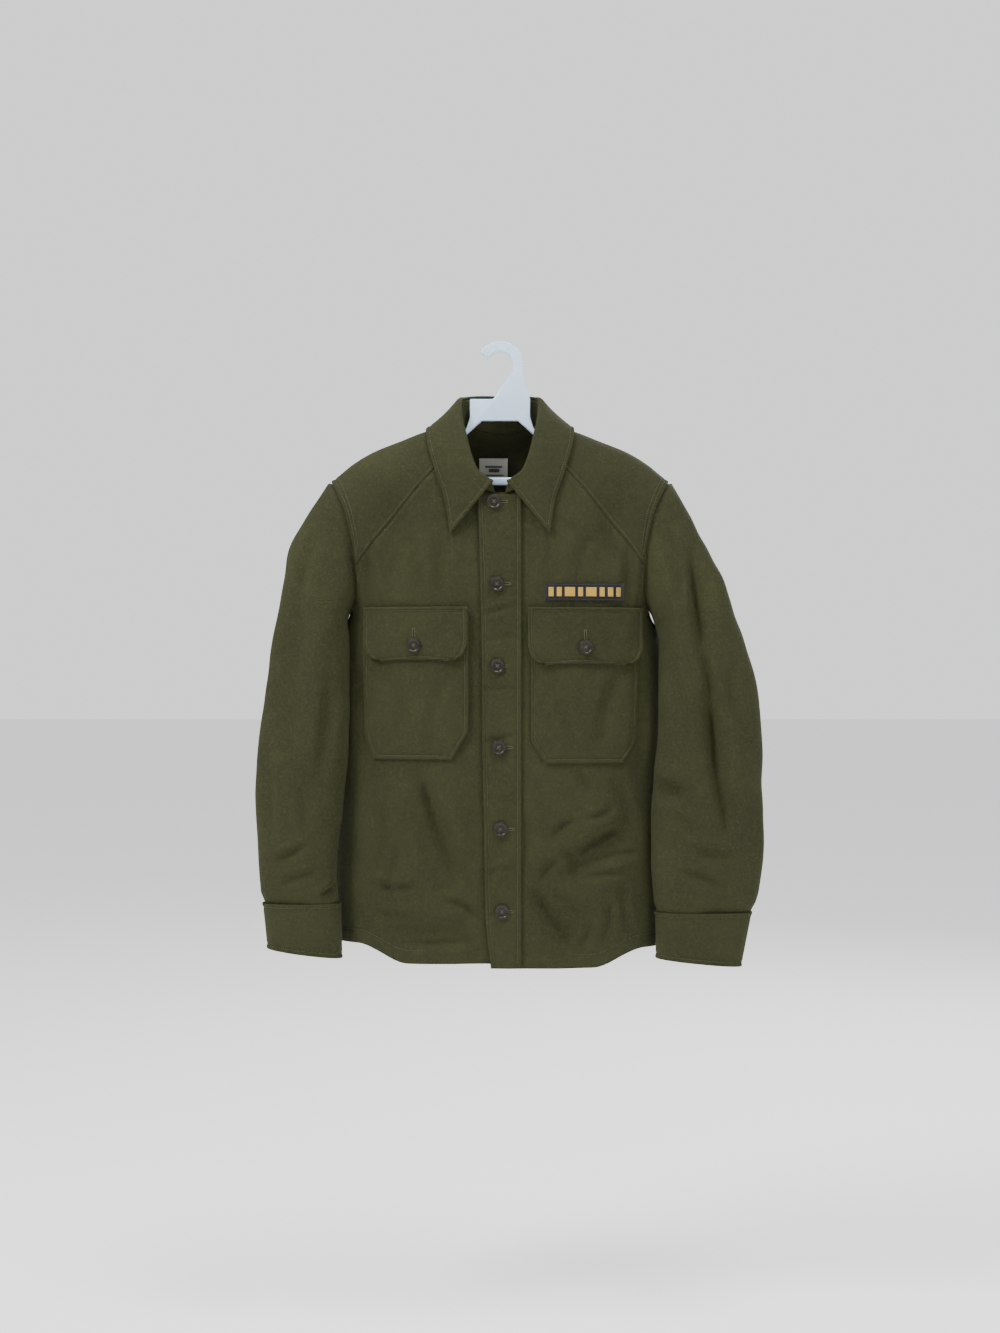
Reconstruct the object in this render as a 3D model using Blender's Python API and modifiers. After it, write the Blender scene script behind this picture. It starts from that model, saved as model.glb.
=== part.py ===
"""Wool field shirt hanging on a plain plastic hanger.

Sizes are in millimetres and become metres when a mesh is made. +X is the viewer's right,
-Y is the front and +Z is up. The origin is the hang point inside the hanger's hook.
The body is one smooth form, worked out from two tables. Every panel is a grid on that form.
"""
import math

import bpy
import numpy as np
from mathutils import Vector

MM = 0.001

# Cloth and seams
WALL = 1.8
SEAM_GAP = 0.35
SIDE_GAP = 1.3
LAP_GAP = 0.55
LAYER = WALL + LAP_GAP

# Neck, shoulder and body
NECK_HALF_WIDTH = 62.0
NECK_FRONT_TURN = -1.161
NECK_BACK_TURN = 0.336
YOKE_SEAM_TURN = 71.0
RIDGE_RADIUS = 75.0
ARM_TOP = -173.0
ARM_BOTTOM = -347.0
ARM_DIVISIONS = 20
YOKE_FRONT_DIVISION = 6
YOKE_BACK_DIVISION = 4
PILLOW = 0.5
UNDERLAP = 18.0
UNDERLAP_STEP = LAYER + 0.2
UNDERLAP_FROM = 42.0
UNDERLAP_TO = 66.0
SIDE_CLOSENESS = 0.62
SLOPE_STEP = 0.4
HEM_LEFT = -808.0
HEM_RIGHT = -814.0
HEM_BACK = -806.0
HEM_SIDE_RISE = 24.0
HEM_RISE_FROM = 120.0
HEM_RISE_TO = 190.0

# Sections of the shoulder line: half-width and height
SHOULDER = {
    "half": [0.0, 62.0, 95.0, 132.0, 171.0, 197.0, 214.0, 224.0],
    "height": [-98.0, -99.0, -105.0, -119.0, -135.0, -151.0, -165.0, -173.0],
}

# Sections of the body: height, closing half-width, front and back depth, backward shear
BODY = {
    "height": [-825.0, -720.0, -600.0, -450.0, -347.0, -290.0, -230.0, -170.0, -90.0],
    "side": [197.0, 197.0, 197.0, 197.0, 197.0, 212.0, 246.0, 290.0, 330.0],
    "front": [41.0, 42.0, 44.0, 47.0, 48.0, 48.0, 47.0, 46.0, 44.0],
    "back": [33.0, 33.0, 34.0, 35.0, 36.0, 37.0, 38.0, 39.0, 40.0],
    "shear": [24.0, 24.0, 22.0, 18.0, 8.0, 3.0, 0.0, 0.0, 0.0],
}

# Armhole seam: height and half-width
ARMHOLE = {
    "height": [-347.0, -335.0, -312.0, -281.0, -248.0, -218.0, -195.0, -173.0],
    "half": [197.0, 190.5, 188.0, 190.0, 195.0, 202.5, 212.0, 224.0],
}

# Top of the collar stand, by turn round the neck from the front, in degrees
STAND_TOP = {
    "turn": [6.0, 30.0, 50.0, 70.0, 95.0, 130.0, 180.0],
    "x": [10.0, 30.0, 42.0, 50.0, 52.0, 42.0, 0.0],
    "y": [-50.0, -48.0, -40.0, -27.0, -6.0, 12.0, 22.0],
    "z": [-179.0, -164.0, -138.0, -104.0, -72.0, -62.0, -60.0],
}

# Outer edge of the collar fall, by the same turn: half-width and turn over the shoulder ridge
FALL_EDGE = {
    "turn": [6.0, 30.0, 55.0, 75.0, 90.0, 105.0, 130.0, 180.0],
    "half": [65.0, 73.0, 84.0, 95.0, 97.0, 92.0, 70.0, 0.0],
    "over": [-1.60, -1.19, -0.90, -0.50, -0.08, 0.20, 0.47, 0.56],
}

# Sleeve sections: outer and inner edge, half-depth, its middle, and bow towards the body
SLEEVE_LEFT = {
    "station": [1, 2, 3, 4, 5, 6, 7, 8, 9, 10, 11],
    "outer_x": [238, 258, 277, 291, 303, 312, 320, 324, 322, 318, 316],
    "outer_z": [-190, -222, -263, -325, -400, -465, -530, -585, -640, -690, -716],
    "inner_x": [203, 204, 203, 201, 200, 200, 202, 206, 212, 215, 214],
    "inner_z": [-351, -357, -366, -384, -425, -475, -535, -590, -642, -690, -716],
    "depth": [36, 37, 37, 36, 35, 34, 33, 32, 31, 30, 29],
    "middle": [2, 0, -3, -7, -11, -13, -14, -14, -14, -14, -14],
    "bow": [17, 12, 6, 2, 0, 0, 0, 0, 0, 0, 0],
}
SLEEVE_RIGHT = {
    "station": [1, 2, 3, 4, 5, 6, 7, 8, 9, 10, 11],
    "outer_x": [241, 264, 291, 318, 338, 347, 348, 348, 346, 341, 336],
    "outer_z": [-197, -240, -295, -365, -435, -500, -560, -620, -672, -712, -730],
    "inner_x": [203, 205, 207, 210, 209, 207, 203, 201, 201, 202, 204],
    "inner_z": [-351, -358, -369, -390, -440, -500, -560, -620, -672, -712, -730],
    "depth": [36, 37, 37, 36, 35, 34, 33, 32, 31, 30, 29],
    "middle": [2, 0, -3, -7, -11, -13, -14, -14, -14, -14, -14],
    "bow": [17, 12, 6, 2, 0, 0, 0, 0, 0, 0, 0],
}

# Cuffs: edges at the seam and at the free edge, half-depth and middle
CUFF_LEFT = {"outer": -314.0, "inner": -210.0, "top": -730.0, "outer_end": -308.0,
             "inner_end": -209.0, "outer_bottom": -790.0, "inner_bottom": -803.0,
             "depth": 28.0, "middle": -14.0}
CUFF_RIGHT = {"outer": 333.0, "inner": 205.0, "top": -742.0, "outer_end": 319.0,
              "inner_end": 206.0, "outer_bottom": -814.0, "inner_bottom": -803.0,
              "depth": 28.0, "middle": -14.0}

# Swelling beside a fold: share of its depth and place in widths
SWELL_SHARE = 0.45
SWELL_PLACE = 1.7

# Largest folds of fronts and back: face, start, end, depth and width
FOLDS = [
    ("front", -118.0, -560.0, -56.0, -720.0, 6.0, 20.0),
    ("front", -158.0, -575.0, -128.0, -700.0, 4.0, 16.0),
    ("front", 80.0, -706.0, 168.0, -628.0, 6.0, 20.0),
    ("front", 45.0, -712.0, 100.0, -795.0, 5.0, 18.0),
    ("front", -140.0, -770.0, -40.0, -768.0, 4.0, 16.0),
    ("front", -150.0, -190.0, -130.0, -320.0, 3.5, 20.0),
    ("front", 148.0, -190.0, 132.0, -300.0, 3.5, 20.0),
    ("back", -120.0, -250.0, -88.0, -560.0, 7.0, 26.0),
    ("back", 126.0, -250.0, 96.0, -600.0, 7.0, 26.0),
    ("back", -60.0, -560.0, -20.0, -745.0, 5.0, 22.0),
    ("back", 70.0, -610.0, 120.0, -765.0, 5.0, 22.0),
]

# Largest folds of the sleeves: side, face, start, end, depth and width
SLEEVE_FOLDS = [
    ("right", "front", 253.0, -265.0, 270.0, -440.0, 7.0, 16.0),
    ("right", "front", 268.0, -430.0, 298.0, -640.0, 8.0, 15.0),
    ("right", "front", 204.0, -575.0, 240.0, -586.0, 4.0, 13.0),
    ("right", "back", 268.0, -330.0, 290.0, -620.0, 6.0, 18.0),
    ("left", "front", -262.0, -300.0, -284.0, -560.0, 4.5, 19.0),
    ("left", "back", -250.0, -320.0, -268.0, -600.0, 6.0, 18.0),
]

# Band: free edge of the overlapping front, by height
BAND = {
    "height": [-814.0, -761.0, -629.0, -540.0, -342.0, -211.0, -190.0],
    "edge": [-12.0, -18.0, -21.0, -23.0, -25.0, -29.0, -30.0],
}

# Band stitched on the free edge
BAND_RIGHT = 28.0
BAND_TOP = -193.0
BAND_LAYER = LAYER + 0.3
BAND_INSET = 0.4
BAND_HEM_GAP = 0.5

# Collar: roll as rise and reach, then clearances over stand and band
NECK_FRONT_CLEAR = 8.0
CENTRE_START = ARM_BOTTOM + 10.0
FALL_ROLL = [(0.7, 0.0), (3.4, 0.5), (4.8, 3.6), (2.8, 6.6)]
FALL_LAYER = LAYER + 1.2
STAND_START = 0.8
STAND_CLEAR = 1.2
STAND_CLEAR_FROM = 0.25
STAND_CLEAR_TO = 0.6
BAND_CLEAR_FROM = 28.0
BAND_CLEAR_TO = 42.0

# Sleeve head and cuff laps
SEAM_ROWS = 5
ARM_LAP = 7.0
ARM_LAYER = LAYER + 0.8
HEAD_STEP = ARM_LAP * 0.7
HEAD_SINK = LAYER * 0.6
SLEEVE_FULLNESS = 0.85
SLEEVE_HALF_DEPTH = 30.0
SLEEVE_FACE_SHARE = 0.6
CUFF_LAP = 0.12
CUFF_LAP_START = -0.036
CUFF_EXTRA = 2
CUFF_START_DIVISION = 13
CUFF_STEP_FROM = 0.15
CUFF_STEP_TO = 0.6
CUFF_CLOSE_FROM = 2 * math.pi - 0.5
CUFF_CLOSE_TO = 2 * math.pi - 0.1
CUFF_BUTTON_SHARES = (0.4, 0.6)

# Pockets and flaps: heights, left and right edge
POCKET_LEFT = {"top": -345.0, "left": -180.0, "right": -41.0, "cut": -503.0,
               "bottom": -540.0, "bottom_left": -166.0, "bottom_right": -63.0}
POCKET_RIGHT = {"top": -345.0, "left": 40.0, "right": 181.0, "cut": -515.0,
                "bottom": -545.0, "bottom_left": 59.0, "bottom_right": 160.0}
FLAP_LEFT = {"top": -340.0, "left": -178.0, "right": -42.0, "side": -381.0, "bottom": -410.0}
FLAP_RIGHT = {"top": -340.5, "left": 36.0, "right": 186.0, "side": -387.0, "bottom": -415.0}
FLAP_CORNER = 21.0
FLAP_CORNER_TURNS = (35.0, 65.0, 90.0)
FLAP_CURL = 3.0
FLAP_CURL_START = 15.0

# Trim: lowest and highest corner seen from the front
STRIP_BOX = (58.5, -332.0, 162.0, -309.5)
LABEL_BOX = (-28.0, -172.0, 10.5, -137.5)
STRIP_WALL = 1.2
LABEL_WALL = 1.0

# Buttons: places seen from the front
FRONT_BUTTONS = [(-8.0, -203.0), (-4.0, -310.5), (-3.5, -417.5), (-1.5, -524.0),
                 (0.5, -631.0), (2.5, -738.5)]
FLAP_BUTTONS = {"left": (-112.0, -390.5), "right": (111.0, -393.0)}
BUTTON_PROFILE = [(0.0, 2.1), (6.1, 2.1), (7.4, 3.3), (8.9, 3.1), (9.5, 1.5), (8.3, 0.0),
                  (0.0, 0.0)]
BUTTON_SEAT = 0.35
BUTTON_SIDES = 14
MERGE_DISTANCE = 0.01

# Hanger moulding: hook, plate corners, arm, tip corners and bar
HOOK_INNER = 17.0
HOOK_WIDTH = 14.0
HOOK_END_ANGLE = 150.0
HOOK_STEPS = 13
PLATE_RIGHT = [(31.0, -29.0), (40.0, -63.0), (40.0, -87.0), (45.0, -103.0)]
PLATE_LEFT = [(-9.0, -63.0), (17.0, -25.0)]
PLATE_UNDER = (24.0, -92.0)
HANGER_HALF_DEPTH = 4.5
HANGER_TOP_GAP = 4.2
ARM_START = 54.0
ARM_REACH = 192.0
ARM_DEPTH = 15.0
ARM_POINTS = 8
UNDER_START = 152.0
UNDER_END = 52.0
UNDER_POINTS = 6
TIP_CORNERS = [(0.0, 0.0), (-18.0, 0.0), (-24.0, 10.0)]
BAR_HEIGHT = 11.0
BAR_HALF_DEPTH = 3.5
BAR_GAP = 0.35
BAR_ROUNDING = 2.0

# Finishes: colour and roughness
FINISHES = {
    "wool": ((0.062, 0.060, 0.026), 0.9),
    "button": ((0.030, 0.020, 0.012), 0.3),
    "tape": ((0.008, 0.008, 0.012), 0.8),
    "label": ((0.68, 0.66, 0.58), 0.85),
    "hanger": ((0.72, 0.82, 0.92), 0.35),
}

# Fineness of the grids
GRAIN = {
    "columns": 10, "low_rows": 15, "back_half_columns": 9, "sleeve_rows": 16, "cuff_rows": 3,
    "collar_columns": 16, "stand_rows": 3, "fall_rows": 7, "band_rows": 24, "band_columns": 4,
    "pocket_rows": 7, "pocket_columns": 12, "flap_rows": 3, "strip_rows": 3, "strip_columns": 9,
    "label_rows": 4, "label_columns": 5,
}


def smooth(table, key, value, at):
    """Read a column of a table at any key, with a smooth curve through its rows."""
    keys = np.asarray(table[key], dtype=float)
    values = np.asarray(table[value], dtype=float)
    at = np.clip(np.asarray(at, dtype=float), keys[0], keys[-1])
    steps = np.diff(values) / np.diff(keys)
    slopes = np.concatenate(([steps[0]], (steps[1:] + steps[:-1]) / 2, [steps[-1]]))
    low = np.clip(np.searchsorted(keys, at) - 1, 0, len(keys) - 2)
    span = keys[low + 1] - keys[low]
    t = (at - keys[low]) / span
    start = (1 + 2 * t) * (1 - t) ** 2 * values[low] + t * (1 - t) ** 2 * span * slopes[low]
    end = t * t * (3 - 2 * t) * values[low + 1] + t * t * (t - 1) * span * slopes[low + 1]
    return start + end


def ease(value, low, high):
    """Rise smoothly from 0 at low to 1 at high."""
    t = np.clip((np.asarray(value, dtype=float) - low) / (high - low), 0.0, 1.0)
    return t * t * (3 - 2 * t)


def body_terms(x, z):
    """Give the depth factors of the body at a place seen from the front."""
    side = smooth(BODY, "height", "side", z)
    across = x / side
    pillow = (1 - across ** 2) * (1 + PILLOW * across ** 2)
    below = smooth(SHOULDER, "half", "height", np.abs(x)) - z
    ridge = np.where(below < RIDGE_RADIUS, 1 - (1 - below / RIDGE_RADIUS) ** 2, 1.0)
    shear = smooth(BODY, "height", "shear", z) * np.minimum(across ** 4, 1.0)
    return pillow * ridge, shear


def surface_value(points):
    """Give a value that is zero on the body's form and grows outwards."""
    x, y, z = points[..., 0], points[..., 1], points[..., 2]
    share, shear = body_terms(x, z)
    front = smooth(BODY, "height", "front", z)
    back = smooth(BODY, "height", "back", z)
    depth = np.where(y - shear < 0, front, back)
    return ((y - shear) / depth) ** 2 - share


def gradient(points, step=SLOPE_STEP):
    """Give the slope of surface_value."""
    slopes = []
    for axis in np.eye(3) * step:
        slopes.append((surface_value(points + axis) - surface_value(points - axis)) / (2 * step))
    return np.stack(slopes, axis=-1)


def normals(points):
    """Give the outward direction of the body's form."""
    slope = gradient(points)
    return slope / np.maximum(np.linalg.norm(slope, axis=-1, keepdims=True), 1e-9)


def distance(points):
    """Give roughly how far points stand outside the body's form."""
    return surface_value(points) / np.maximum(np.linalg.norm(gradient(points), axis=-1), 1e-9)


def trough(x, z, fold):
    """Give the dent of one fold, deep along its line and fading at its ends."""
    x0, z0, x1, z1, depth, width = fold
    length = math.hypot(x1 - x0, z1 - z0)
    along = ((x - x0) * (x1 - x0) + (z - z0) * (z1 - z0)) / length
    aside = ((x - x0) * (z1 - z0) - (z - z0) * (x1 - x0)) / length
    fade = ease(along, -width, length / 3) * (1 - ease(along, length * 2 / 3, length + width))
    swell = SWELL_SHARE * np.exp(-((np.abs(aside) - SWELL_PLACE * width) / width) ** 2)
    return -depth * fade * (np.exp(-(aside / width) ** 2) - swell)


def fold_height(x, z, face):
    """Add up the folds of one face of the body."""
    height = np.zeros_like(x)
    for fold_face, *fold in FOLDS:
        if fold_face == face:
            height = height + trough(x, z, fold)
    return height


def body_points(x, z, face, offset=0.0, folded=True):
    """Give points on the front or back of the body, moved out by an offset."""
    x, z = np.broadcast_arrays(np.asarray(x, dtype=float), np.asarray(z, dtype=float))
    share, shear = body_terms(x, z)
    depth = smooth(BODY, "height", face, z)
    sign = np.where(face == "front", -1.0, 1.0)
    y = shear + sign * depth * np.sqrt(np.maximum(share, 0.0))
    points = np.stack([x, y, z], axis=-1)
    if folded:
        offset = offset + fold_height(x, z, face)
    return points + normals(points) * np.asarray(offset)[..., None]


def height_over(x, over):
    """Turn a turn over the shoulder ridge into a height."""
    turn = np.abs(over)
    curved = RIDGE_RADIUS * (1 - np.cos(np.minimum(turn, 1.0) * math.pi / 2))
    straight = np.maximum(turn - 1, 0) * RIDGE_RADIUS * math.pi / 2
    return smooth(SHOULDER, "half", "height", np.abs(x)) - curved - straight


def turn_over(x, z):
    """Turn a height into a turn over the shoulder ridge, without its sign."""
    below = np.maximum(smooth(SHOULDER, "half", "height", np.abs(x)) - z, 0.0)
    curved = np.arccos(np.clip(1 - below / RIDGE_RADIUS, 0, 1)) / (math.pi / 2)
    straight = 1 + (below - RIDGE_RADIUS) / (RIDGE_RADIUS * math.pi / 2)
    return np.where(below < RIDGE_RADIUS, curved, straight)


def over_points(x, over, offset=0.0):
    """Give points by half-width and turn over the ridge, front turns being negative."""
    z = height_over(x, over)
    front = body_points(x, z, "front", offset)
    back = body_points(x, z, "back", offset)
    return np.where((np.asarray(over) < 0)[..., None], front, back)


def neck_ring(turn):
    """Give half-width and turn over the ridge of the neck seam, by degrees from the front."""
    angle = np.radians(turn)
    middle = (NECK_FRONT_TURN + NECK_BACK_TURN) / 2
    swing = (NECK_BACK_TURN - NECK_FRONT_TURN) / 2
    return NECK_HALF_WIDTH * np.sin(angle), middle - swing * np.cos(angle)


def armhole_half(z):
    """Give the half-width of the armhole seam at a height."""
    return smooth(ARMHOLE, "height", "half", z)


def arm_height(division):
    """Give the height of one division of the armhole, counted down from its top."""
    middle, half = (ARM_TOP + ARM_BOTTOM) / 2, (ARM_TOP - ARM_BOTTOM) / 2
    return middle + half * np.cos(np.asarray(division) * 2 * math.pi / ARM_DIVISIONS)


def arm_rows(division):
    """Give the heights of a panel's rows up its armhole, with one row between divisions."""
    lowest = ARM_DIVISIONS // 2
    heights = arm_height(np.arange(lowest, division - 1, -1))
    between = (heights[1:-1] + heights[2:]) / 2
    return np.sort(np.concatenate([heights, between[1:]]))


def edge_spread(count):
    """Spread columns from a panel's side to its middle, closer together at the side."""
    share = np.linspace(0, 1, count)
    return share * (SIDE_CLOSENESS + (1 - SIDE_CLOSENESS) * share)


def yoke_seam(share):
    """Give half-width and height along the front yoke seam, from neck to armhole."""
    neck_x, neck_over = neck_ring(YOKE_SEAM_TURN)
    end_x = armhole_half(arm_height(YOKE_FRONT_DIVISION))
    end_over = -turn_over(end_x, arm_height(YOKE_FRONT_DIVISION))
    x = neck_x + (end_x - neck_x) * share
    return x, height_over(x, neck_over + (end_over - neck_over) * share)


def clear_of_body(points, clearance):
    """Push points out until they stand clear of the body's form."""
    for _ in range(3):
        short = np.maximum(clearance - distance(points), 0.0)
        points = points + normals(points) * short[..., None]
    return points


def trimmed(grid, edges, gap=SEAM_GAP):
    """Draw named edges of a grid of points back by half a seam gap."""
    grid = grid.copy()
    pairs = {"first_row": ((0,), (1,)), "last_row": ((-1,), (-2,)),
             "first_column": ((slice(None), 0), (slice(None), 1)),
             "last_column": ((slice(None), -1), (slice(None), -2))}
    for edge in edges:
        at, beside = pairs[edge]
        step = grid[beside] - grid[at]
        length = np.maximum(np.linalg.norm(step, axis=-1, keepdims=True), 1e-6)
        grid[at] = grid[at] + step / length * gap / 2
    return grid


def collection_named(name):
    """Make the collection that holds the parts."""
    collection = bpy.data.collections.new(name)
    bpy.context.scene.collection.children.link(collection)
    return collection


def material(name, colour, roughness):
    """Make a Principled material."""
    made = bpy.data.materials.new(name)
    made.use_nodes = True
    shader = made.node_tree.nodes["Principled BSDF"]
    shader.inputs["Base Color"].default_value = (*colour, 1.0)
    shader.inputs["Roughness"].default_value = roughness
    return made


def mesh_object(name, vertices, faces, finish, parts):
    """Make a mesh object from points in millimetres."""
    mesh = bpy.data.meshes.new(name)
    mesh.from_pydata([tuple(point * MM) for point in vertices], [], faces)
    mesh.materials.append(finish)
    mesh.update()
    made = bpy.data.objects.new(name, mesh)
    parts.objects.link(made)
    return made


def cloth(name, grid, finish, parts, outward, around=False, wall=WALL):
    """Make a panel from a grid of points on its outer face, with its wall inside them."""
    rows, columns = grid.shape[:2]
    across = columns if around else columns - 1
    faces = []
    for row in range(rows - 1):
        for column in range(across):
            beside = (column + 1) % columns
            low, high = row * columns, (row + 1) * columns
            faces.append((low + column, low + beside, high + beside, high + column))
    middle = (rows - 1) // 2 * across + (0 if around else columns // 2)
    corners = grid.reshape(-1, 3)[list(faces[middle])]
    facing = np.cross(corners[2] - corners[0], corners[3] - corners[1])
    if np.dot(facing, outward) < 0:
        faces = [tuple(reversed(face)) for face in faces]
    made = mesh_object(name, grid.reshape(-1, 3), faces, finish, parts)
    made.data.shade_smooth()
    solid = made.modifiers.new("Wall", "SOLIDIFY")
    solid.thickness = wall * MM
    solid.offset = -1.0
    return made


def panel_rows(side, inner_edge, hem, grain):
    """Give a front panel's rows as outer and inner places, from the hem to the yoke seam."""
    sides = np.linspace(hem, ARM_BOTTOM, grain["low_rows"])
    arm = arm_rows(YOKE_FRONT_DIVISION)[1:]
    neck_x, neck_over = neck_ring(NECK_FRONT_CLEAR)
    neck_z = float(height_over(neck_x, neck_over))
    centre_share = len(arm) // 2
    centre = np.linspace(CENTRE_START, neck_z, centre_share + 1)[1:]
    turns = np.linspace(NECK_FRONT_CLEAR, YOKE_SEAM_TURN, len(arm) - centre_share + 1)[1:]
    ring_x, ring_over = neck_ring(turns)
    inner_x = np.concatenate([[inner_edge(z) * side for z in (*sides, *centre)], ring_x])
    inner_z = np.concatenate([np.linspace(hem, CENTRE_START, len(sides)), centre,
                              height_over(ring_x, ring_over)])
    outer_x = np.concatenate([smooth(BODY, "height", "side", sides), armhole_half(arm)])
    return outer_x, np.concatenate([sides, arm]), inner_x, inner_z


def front_grid(side, inner_edge, hem, grain):
    """Give the half-widths and heights of one front panel, row by row."""
    outer_x, outer_z, inner_x, inner_z = panel_rows(side, inner_edge, hem, grain)
    share = edge_spread(grain["columns"])
    seam_x, seam_z = yoke_seam(1 - share)
    rows = len(outer_x)
    xs, zs = [], []
    for row in range(rows):
        low = smooth(BODY, "height", "side", outer_z[row])
        high = smooth(BODY, "height", "side", inner_z[row])
        start, end = np.arcsin(min(outer_x[row] / low, 1.0)), np.arcsin(inner_x[row] / high)
        half_width = low + (high - low) * share
        x = half_width * np.sin(start + (end - start) * share)
        z = outer_z[row] + (inner_z[row] - outer_z[row]) * share
        to_seam = max(0.0, (row - rows + 1 + SEAM_ROWS) / SEAM_ROWS) ** 2
        to_seam = to_seam * np.where(share > 0, 1.0, to_seam >= 1)
        x = x + (seam_x - x) * to_seam
        if row == rows - 1:
            z = seam_z
        lift = (1 - row / (rows - 1)) ** 4 * HEM_SIDE_RISE * ease(x, HEM_RISE_FROM, HEM_RISE_TO)
        xs.append(x)
        zs.append(z + lift)
    return np.array(xs), np.array(zs)


def band_edge(z):
    """Give the place of the overlapping front's free edge at a height."""
    return float(smooth(BAND, "height", "edge", z))


def front_panels(grain):
    """Give the points of both fronts; the right one laps over the left one."""
    x, z = front_grid(-1, lambda height: UNDERLAP, HEM_LEFT, grain)
    inset = -UNDERLAP_STEP * (1 - ease(x, UNDERLAP_FROM, UNDERLAP_TO))
    left = body_points(-x, z, "front", inset)
    x, z = front_grid(1, band_edge, HEM_RIGHT, grain)
    right = body_points(x, z, "front")
    left, right = [trimmed(grid, ["first_column"], SIDE_GAP) for grid in (left, right)]
    return trimmed(left, ["last_row"]), trimmed(right, ["last_row"])


def back_spread(grain):
    """Spread columns over the back, from -1 to 1, closer together at both sides."""
    half = 1 - edge_spread(grain["back_half_columns"])
    return np.concatenate([-half, half[-2::-1]])


def back_panel(grain):
    """Give the points of the back, from the hem to the straight yoke seam."""
    sides = np.linspace(HEM_BACK, ARM_BOTTOM, grain["low_rows"])
    arm = arm_rows(YOKE_BACK_DIVISION)[1:]
    heights = np.concatenate([sides, arm])
    edges = np.concatenate([smooth(BODY, "height", "side", sides), armhole_half(arm)])
    closing = smooth(BODY, "height", "side", heights)
    reach = np.arcsin(np.minimum(edges / closing, 1.0))
    share = back_spread(grain)
    x = closing[:, None] * np.sin(reach[:, None] * share)
    z = np.repeat(heights[:, None], len(share), axis=1)
    fall = (1 - np.arange(len(heights)) / (len(heights) - 1)) ** 4
    rise = HEM_SIDE_RISE * ease(np.abs(x), HEM_RISE_FROM, HEM_RISE_TO)
    z = z + fall[:, None] * rise
    grid = trimmed(body_points(x, z, "back"), ["first_column", "last_column"], SIDE_GAP)
    return trimmed(grid, ["last_row"])


def yoke_outline(grain):
    """Give the outer edge of half the yoke: front seam, armhole, then back seam to the middle."""
    front = arm_height(np.arange(YOKE_FRONT_DIVISION, -1, -1))
    back = arm_height(np.arange(1, YOKE_BACK_DIVISION + 1))
    front_x, back_x = armhole_half(front), armhole_half(back)
    closing = smooth(BODY, "height", "side", back[-1])
    reach = np.arcsin(back_x[-1] / closing)
    share = 1 - edge_spread(grain["back_half_columns"])[1:]
    seam_x = closing * np.sin(reach * share)
    x = np.concatenate([front_x, back_x, seam_x])
    over = np.concatenate([-turn_over(front_x, front), turn_over(back_x, back),
                           turn_over(seam_x, np.full_like(seam_x, back[-1]))])
    return x, over, len(front) - 1


def yoke_panel(grain):
    """Give the yoke as a horseshoe of columns running out from the neck seam."""
    outer_x, outer_over, ridge = yoke_outline(grain)
    swing = (NECK_BACK_TURN - NECK_FRONT_TURN) / 2
    ridge_turn = math.degrees(math.acos((NECK_BACK_TURN - swing) / swing))
    turns = np.concatenate([np.linspace(YOKE_SEAM_TURN, ridge_turn, ridge + 1),
                            np.linspace(ridge_turn, 180, len(outer_x) - ridge)[1:]])
    neck_x, neck_over = neck_ring(turns)
    share = 1 - edge_spread(grain["columns"])[::-1, None]
    x = neck_x + (outer_x - neck_x) * share
    over = neck_over + (outer_over - neck_over) * share
    left = over_points(-x, over)
    right = over_points(x[:, -2::-1], over[:, -2::-1])
    return trimmed(np.concatenate([left, right], axis=1),
                   ["first_column", "last_column", "last_row"])


def armhole_loop(side, angles):
    """Give the armhole seam as a loop: over the shoulder, down the front and up the back."""
    middle, half = (ARM_TOP + ARM_BOTTOM) / 2, (ARM_TOP - ARM_BOTTOM) / 2
    z = middle + half * np.cos(angles)
    x = side * armhole_half(z)
    front = body_points(x, z, "front", folded=False)
    back = body_points(x, z, "back", folded=False)
    return np.where((np.sin(angles) >= 0)[:, None], front, back)


def sleeve_head(side, angles):
    """Give the first rings of a sleeve, lapped under the body's edge and turning out of it."""
    loop = armhole_loop(side, angles)
    outward = normals(loop)
    along = np.roll(loop, -1, axis=0) - np.roll(loop, 1, axis=0)
    inward = np.cross(outward, along)
    inward /= np.linalg.norm(inward, axis=-1, keepdims=True)
    low = (1 - np.cos(angles)) / 2
    to_body = np.stack([-side * (1 - low), 0 * low, -low ** 3], axis=-1)
    inward *= np.sign(np.sum(inward * to_body, axis=-1, keepdims=True))
    lap = loop + inward * ARM_LAP
    for _ in range(3):
        lap = lap - normals(lap) * distance(lap)[:, None]
    lap = lap - normals(lap) * ARM_LAYER
    edge = loop - outward * ARM_LAYER
    turning = loop - inward * HEAD_STEP - outward * HEAD_SINK
    return [lap, edge, turning]


def ellipse_ring(outer, inner, depth, middle, bow, side, angles, inset=0.0):
    """Give one ring of a sleeve or cuff between its outer and inner edge."""
    outer, inner = np.asarray(outer, dtype=float), np.asarray(inner, dtype=float)
    centre, half = (outer + inner) / 2, (outer - inner) / 2
    shrink = 1 - inset / np.linalg.norm(half)
    x = centre[0] + half[0] * np.cos(angles) * shrink - side * bow * np.sin(angles) ** 2
    z = centre[1] + half[1] * np.cos(angles) * shrink
    round_share = np.sign(np.sin(angles)) * np.abs(np.sin(angles)) ** SLEEVE_FULLNESS
    y = middle - (depth - inset) * round_share
    return np.stack([x, y, z], axis=-1)


def cuff_start():
    """Give the angle at which a cuff's overlapping end starts."""
    return CUFF_START_DIVISION * 2 * math.pi / ARM_DIVISIONS


def underlap_inset(turn):
    """Give how deep a cuff's underlapped end lies below its outer face."""
    overlap = CUFF_EXTRA * 2 * math.pi / ARM_DIVISIONS
    return LAYER * (1 - ease(turn, overlap + CUFF_STEP_FROM, overlap + CUFF_STEP_TO))


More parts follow.
